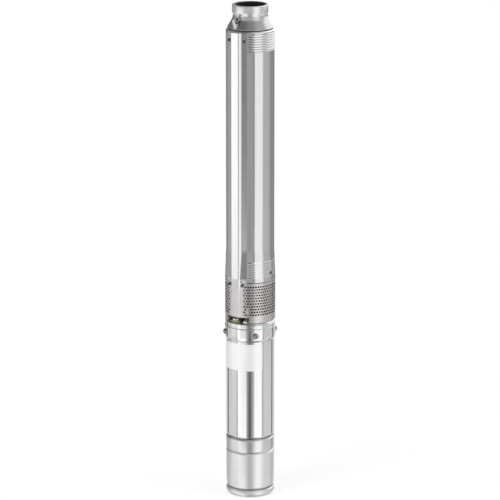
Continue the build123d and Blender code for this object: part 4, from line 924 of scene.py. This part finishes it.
b = math.radians(EAR_AZIMUTH)
x, y, z = face_centres(cast_mesh)
across, out = np.abs(x * math.cos(b) + y * math.sin(b)), np.abs(x * math.sin(b) - y * math.cos(b))
line_r = np.interp(z, [cone_foot, NECK_Z], [CONE_R, NECK_R])
on_ear = (across < EAR_THICK / 2 + 0.3) & (np.hypot(x, y) > line_r + 1) & (z > cone_foot + 1)
in_eye = on_ear & (np.hypot(out - EAR_AT[0], z - EAR_AT[1]) < EAR_HOLE_R + 0.7)
x, y, z = face_centres(collar_mesh)
in_bore = np.hypot(x, y) < THREAD_MINOR + THREAD_ENTRY + 0.05
in_groove = (z > rim_top - 1) & (z < cone_foot + 1)
kinds = np.concatenate([3 * on_ear - in_eye, 1 + (in_bore | in_groove)])
head_mesh.polygons.foreach_set("material_index", kinds.astype(np.int32))
piece("head", head_mesh, "pump", "cast_head", ["discharge_head"], head_cast, collar_steel,
      bore_skin, rubbed_cast)

# Cable guard: one strip of stainless sheet folded to a hat section that shields the lead. Its
# flanges lie on the shell, follow its swell and lip, and end in a tongue on the strainer.

GUARD_SHEET = 0.7
GUARD_GAP = 0.1
CROWN_HALF = 8.6
CROWN_Y = 52.2
CROWN_PRESS = 1.7
WALL_FLARE = 0.608
FLANGE_HALF = 27.0
THROAT_HALF = 15.5
TONGUE_HALF = 21.0
TONGUE_GAP = 2.0
TONGUE_LENGTH = 12.5
FOLD = 1.6


def hat(levels, seat, crown, edge_half):
    """Half of the guard's outer face: flange, fold, side wall, fold and crown, at each level.

    The wall leaves the crown's corner with its flare until it meets the flange's circle, found
    by repeating sin a = x / R from a first guess. Each fold is a parabola through its corner, and
    takes at most 42 % of the wall.
    """
    face = seat + GUARD_GAP + GUARD_SHEET
    a = np.full_like(face, math.radians(14))
    for _ in range(6):
        drop = np.maximum(crown - face * np.cos(a), 0)
        a = np.arcsin((CROWN_HALF + WALL_FLARE * drop) / face)
    foot = np.stack([face * np.sin(a), -face * np.cos(a)], -1)
    top = np.stack([np.full_like(face, CROWN_HALF), -crown], -1)
    wall = foot - top
    length = np.hypot(*np.moveaxis(wall, -1, 0))[:, None]
    wall = wall / np.maximum(length, 0.01)
    reach = np.minimum(FOLD, 0.42 * length)
    edge, face = edge_half[:, None], face[:, None]
    sweep = edge + (a[:, None] + reach / face - edge) * np.linspace(0, 1, 6)[None, :]
    flange = np.stack([face * np.sin(sweep), -face * np.cos(sweep)], -1)
    s = np.linspace(0, 1, 6)[None, :, None]
    lower_end = (foot - wall * reach)[:, None]
    lower = (1 - s) ** 2 * flange[:, -1:] + 2 * s * (1 - s) * foot[:, None] + s ** 2 * lower_end
    upper_start = (top + wall * reach)[:, None]
    upper_end = (top - np.array([1.0, 0.0]) * reach)[:, None]
    upper = (1 - s) ** 2 * upper_start + 2 * s * (1 - s) * top[:, None] + s ** 2 * upper_end
    flat = upper_end * np.array([0.5, 1.0])
    return np.concatenate([flange, lower[:, 1:], upper, flat], axis=1)


# Cold-rolled sheet: bright, with fine rolling lines up its length.
guard_steel = finish("bright_cold_rolled_sheet", ("#E3E4E3", "#D9DAD9"), (0.1, 0.16),
                     (0.7, 0.7, 90), depth=0.002, smudge=0.04)

# The section is worked out at heights that lie closer where it changes. Below the shell the
# flanges are cut back to a throat and widen again to the tongue, and the crown is pressed down.
throat, crest = shell_foot - TONGUE_GAP, SHELL_R + RING_CREST
levels = np.concatenate([
    shell_foot + np.array([-TONGUE_LENGTH, -10, -7.5, -5, -3]), [throat, throat + 0.01],
    shell_foot + np.array([-0.01, 0, 4]), lip_top + np.array([-0.5, 0.5, 1.5, 3]),
    swell_top + np.array([-8, 0, 4, SWELL_RUN / 2, SWELL_RUN - 4, SWELL_RUN, SWELL_RUN + 8]),
    np.linspace(swell_end + 16, rim_top - RIM_CURL, 24)])
seat = np.interp(levels, [shell_foot - 1, shell_foot - 0.5, lip_top, swell_top, swell_end],
                 [sleeve_r, lip_r, lip_r, SWELL_R, crest])
edge_half = np.where(levels < throat + 0.005, TONGUE_HALF,
                     np.where(levels < shell_foot - 0.005, THROAT_HALF, FLANGE_HALF))
press = np.clip((shell_foot + 6 - levels) / (TONGUE_LENGTH + 6), 0, 1)
crown = CROWN_Y - CROWN_PRESS * press ** 1.5
right = hat(levels, seat, crown, np.radians(edge_half))
crown_line = np.stack([0 * crown, -crown], -1)[:, None]
section = np.concatenate([right * [-1.0, 1.0], crown_line, right[:, ::-1]], axis=1)
heights = np.broadcast_to(levels[:, None, None], section.shape[:2] + (1,))
guard_grid = np.concatenate([section, heights], -1).swapaxes(0, 1)
guard = walled("guard_strip", [(guard_grid, False, False)], GUARD_SHEET, 50, guard_steel)
piece("guard_strip", guard, "pump", "sheet_guard", ["cable_guard"])

# Guard screws: four stainless pan-head screws with hexagon sockets, two through the flanges at
# the top of the shell and two through the tongue into the lantern.

GUARD_HEAD_R = 3.5
GUARD_HEAD = 2.2
GUARD_SOCKET = 3.0

head_grid = screw_grid(GUARD_HEAD_R, GUARD_HEAD, GUARD_SOCKET)
# Azimuth to either side, radius of the seat, and height.
top_screw = (21.0, crest + GUARD_GAP + GUARD_SHEET, shell_top - 20)
tongue_screw = (17.0, sleeve_r + GUARD_GAP + GUARD_SHEET, shell_foot - 5)
sheets = [(facing(head_grid, side * azimuth, radius, level), True, False)
          for azimuth, radius, level in (top_screw, tongue_screw) for side in (-1, 1)]
formed("guard_screw_heads", sheets, "fasteners", ["guard_screws"], screw_steel, outward=False)

# Studio: a plain pale floor, white surroundings, and soft panels that only polished metal sees,
# as bands. They stand in five zones, one above the other, each with its own level between them.
# Azimuths of panels and lamps run from the camera, positive to its right.

CAMERA_AZIMUTH = 35.0
FLOOR_HALF = 3.0
SHADOW_REACH = (0.12, 0.7)
SHADOW_GLOW = 0.75
AMBIENT_LEVEL = 0.8
GROUND_LEVEL = 1.0
LOWER_LEVEL = 0.82
UPPER_LEVEL = 0.43
MIDDLE_LEVEL = 0.65
CEILING_LEVEL = 0.3
# Where one zone passes into the next, as the sine of the elevation.
GROUND_RISE = (-0.85, -0.75)
LOWER_RISE = (math.sin(math.radians(-15.75)), math.sin(math.radians(-15.15)))
MIDDLE_RISE = (-0.13, -0.08)
CEILING_RISE = (0.4, 0.52)
# Lamps: name, azimuth, elevation, distance and power.
LAMPS = (("key", -48, 52, 2.6, 26), ("fill", 70, 46, 2.8, 16))
LAMP_WIDTH = 0.9
LAMP_AIM = 0.5

corners = [(x * FLOOR_HALF, y * FLOOR_HALF, 0) for x, y in ((-1, -1), (1, -1), (1, 1), (-1, 1))]
floor_mesh = bpy.data.meshes.new("floor")
floor_mesh.from_pydata(corners, [], [(0, 1, 2, 3)])
floor = placed("floor", floor_mesh)
floor.visible_glossy = False

# Matt floor paint: white to the camera, and near the foot partly grey, where the shadow shows.
floor_paint = bpy.data.materials.new("pale_matt_floor")
floor_paint.use_nodes = True
tree = floor_paint.node_tree
tree.nodes.clear()
matt = add(tree, "BsdfDiffuse", {"Color": linear("#FAFAFA")})
glow = add(tree, "Emission", {"Color": (1, 1, 1, 1), "Strength": 1.0})
seen = add(tree, "LightPath").outputs["Is Camera Ray"]
place = add(tree, "TexCoord").outputs["Object"]
away = add(tree, "VectorMath", {0: place}, operation="LENGTH").outputs["Value"]
clear = add(tree, "MapRange", {0: away, 1: SHADOW_REACH[0], 2: SHADOW_REACH[1], 3: SHADOW_GLOW,
                               4: 1.0}, interpolation_type="SMOOTHSTEP")
share = add(tree, "Math", {0: seen, 1: clear.outputs[0]}, operation="MULTIPLY")
mixed = add(tree, "MixShader", {0: share.outputs[0], 1: matt.outputs[0], 2: glow.outputs[0]})
add(tree, "OutputMaterial", {"Surface": mixed.outputs[0]})
floor_mesh.materials.append(floor_paint)

world = bpy.data.worlds.new("studio")
bpy.context.scene.world = world
world.use_nodes = True
tree = world.node_tree
tree.nodes.clear()
way = add(tree, "TexCoord").outputs["Generated"]
level_way = add(tree, "VectorMath", {0: way, 1: (1, 1, 0)}, operation="MULTIPLY").outputs[0]
flat_way = add(tree, "VectorMath", {0: level_way}, operation="NORMALIZE").outputs[0]
rise = add(tree, "SeparateXYZ", {0: way}).outputs["Z"]


def stepped(value, edges, first, second):
    """first where value is below both edges, second above them, and a smooth step between."""
    share = add(tree, "MapRange", {0: value, 1: edges[0], 2: edges[1], 3: 0.0, 4: 1.0},
                interpolation_type="SMOOTHSTEP").outputs[0]
    return add(tree, "Mix", {0: share, 2: first, 3: second}).outputs[0]


def panels(base, bands):
    """A level all round, with each band's own level over its azimuths, softened at its edges.

    A band is its azimuth, half width and softness in degrees, and its level.
    """
    total = base
    for azimuth, half_width, soft, level in bands:
        b = math.radians(CAMERA_AZIMUTH + azimuth)
        along = add(tree, "VectorMath", {0: flat_way, 1: (math.sin(b), -math.cos(b), 0)},
                    operation="DOT_PRODUCT").outputs["Value"]
        edges = [math.cos(math.radians(half_width + soft)),
                 math.cos(math.radians(max(half_width - soft, 0)))]
        total = stepped(along, edges, total, level)
    return total


upper = panels(UPPER_LEVEL, [
    (-71, 24, 3, 1.4), (-28, 11, 2, 0.2), (17, 3, 2, 0.3), (43, 21, 2, 1.08),
    (82, 14, 10, 0.56), (124, 8, 4, 0.3), (152, 14, 6, 0.28), (-152, 14, 6, 0.3)])
middle = panels(MIDDLE_LEVEL, [(-145, 42, 8, 0.2), (42, 20, 4, 1.2), (138, 38, 6, 1.35)])
lower = panels(LOWER_LEVEL, [
    (-40, 22, 2, 1.4), (39, 19.5, 2, 1.4), (-2, 12, 9, 0.34), (-2, 3, 5, 0.1),
    (-65, 2.5, 2, 0.4), (62, 3, 2, 0.45), (-131, 5, 4, 0.12), (127, 5, 4, 0.2)])
ceiling = panels(CEILING_LEVEL, [(-60, 32, 15, 0.15), (62, 28, 15, 0.55), (130, 32, 10, 1.4)])
ground = panels(GROUND_LEVEL, [(15, 50, 10, 0.25), (-140, 25, 10, 0.15), (140, 25, 10, 0.15)])
around = stepped(rise, LOWER_RISE, lower, upper)
around = stepped(rise, MIDDLE_RISE, around, middle)
around = stepped(rise, CEILING_RISE, around, ceiling)
around = stepped(rise, GROUND_RISE, ground, around)
rays = add(tree, "LightPath").outputs
plain, white, banded = [
    add(tree, "Background", {"Color": (1, 1, 1, 1), "Strength": level}).outputs[0]
    for level in (AMBIENT_LEVEL, 1.0, around)]
glossy = add(tree, "MixShader", {0: rays["Is Glossy Ray"], 1: plain, 2: banded})
direct = add(tree, "Math", {0: rays["Is Camera Ray"], 1: rays["Is Transmission Ray"]},
             operation="MAXIMUM")
shown = add(tree, "MixShader", {0: direct.outputs[0], 1: glossy.outputs[0], 2: white})
add(tree, "OutputWorld", {"Surface": shown.outputs[0]})

for name, azimuth, elevation, distance, power in LAMPS:
    lamp = bpy.data.lights.new(name, "AREA")
    lamp.size = LAMP_WIDTH
    lamp.energy = power
    holder = placed(name, lamp)
    b, e = math.radians(CAMERA_AZIMUTH + azimuth), math.radians(elevation)
    reach = distance * math.cos(e)
    holder.location = (reach * math.sin(b), -reach * math.cos(b), LAMP_AIM + distance * math.sin(e))
    holder.rotation_euler = (math.pi / 2 - e, 0, b)
    holder.visible_glossy = False

# Camera: 5.6 m off and 1.9 m up on a long lens, so that the pump is seen a little from above and
# its sides run nearly parallel. The focal length is in pixels of a picture 500 across.

CAMERA_DISTANCE = 5.6
CAMERA_HEIGHT = 1.934
CAMERA_PITCH = 14.413
FOCAL_PIXELS = 2965.6
SHIFT_PIXELS = -0.2
PICTURE = 500
SENSOR = 36.0
FARTHEST = 50

camera_data = bpy.data.cameras.new("camera")
camera_data.sensor_width = SENSOR
camera_data.lens = FOCAL_PIXELS / PICTURE * SENSOR
camera_data.clip_end = FARTHEST
camera_data.shift_x = SHIFT_PIXELS / PICTURE
camera = placed("camera", camera_data)
b = math.radians(CAMERA_AZIMUTH)
camera.location = (CAMERA_DISTANCE * math.sin(b), -CAMERA_DISTANCE * math.cos(b), CAMERA_HEIGHT)
camera.rotation_euler = (math.radians(90 - CAMERA_PITCH), 0, b)
bpy.context.scene.camera = camera
bpy.context.scene.view_settings.view_transform = "Standard"
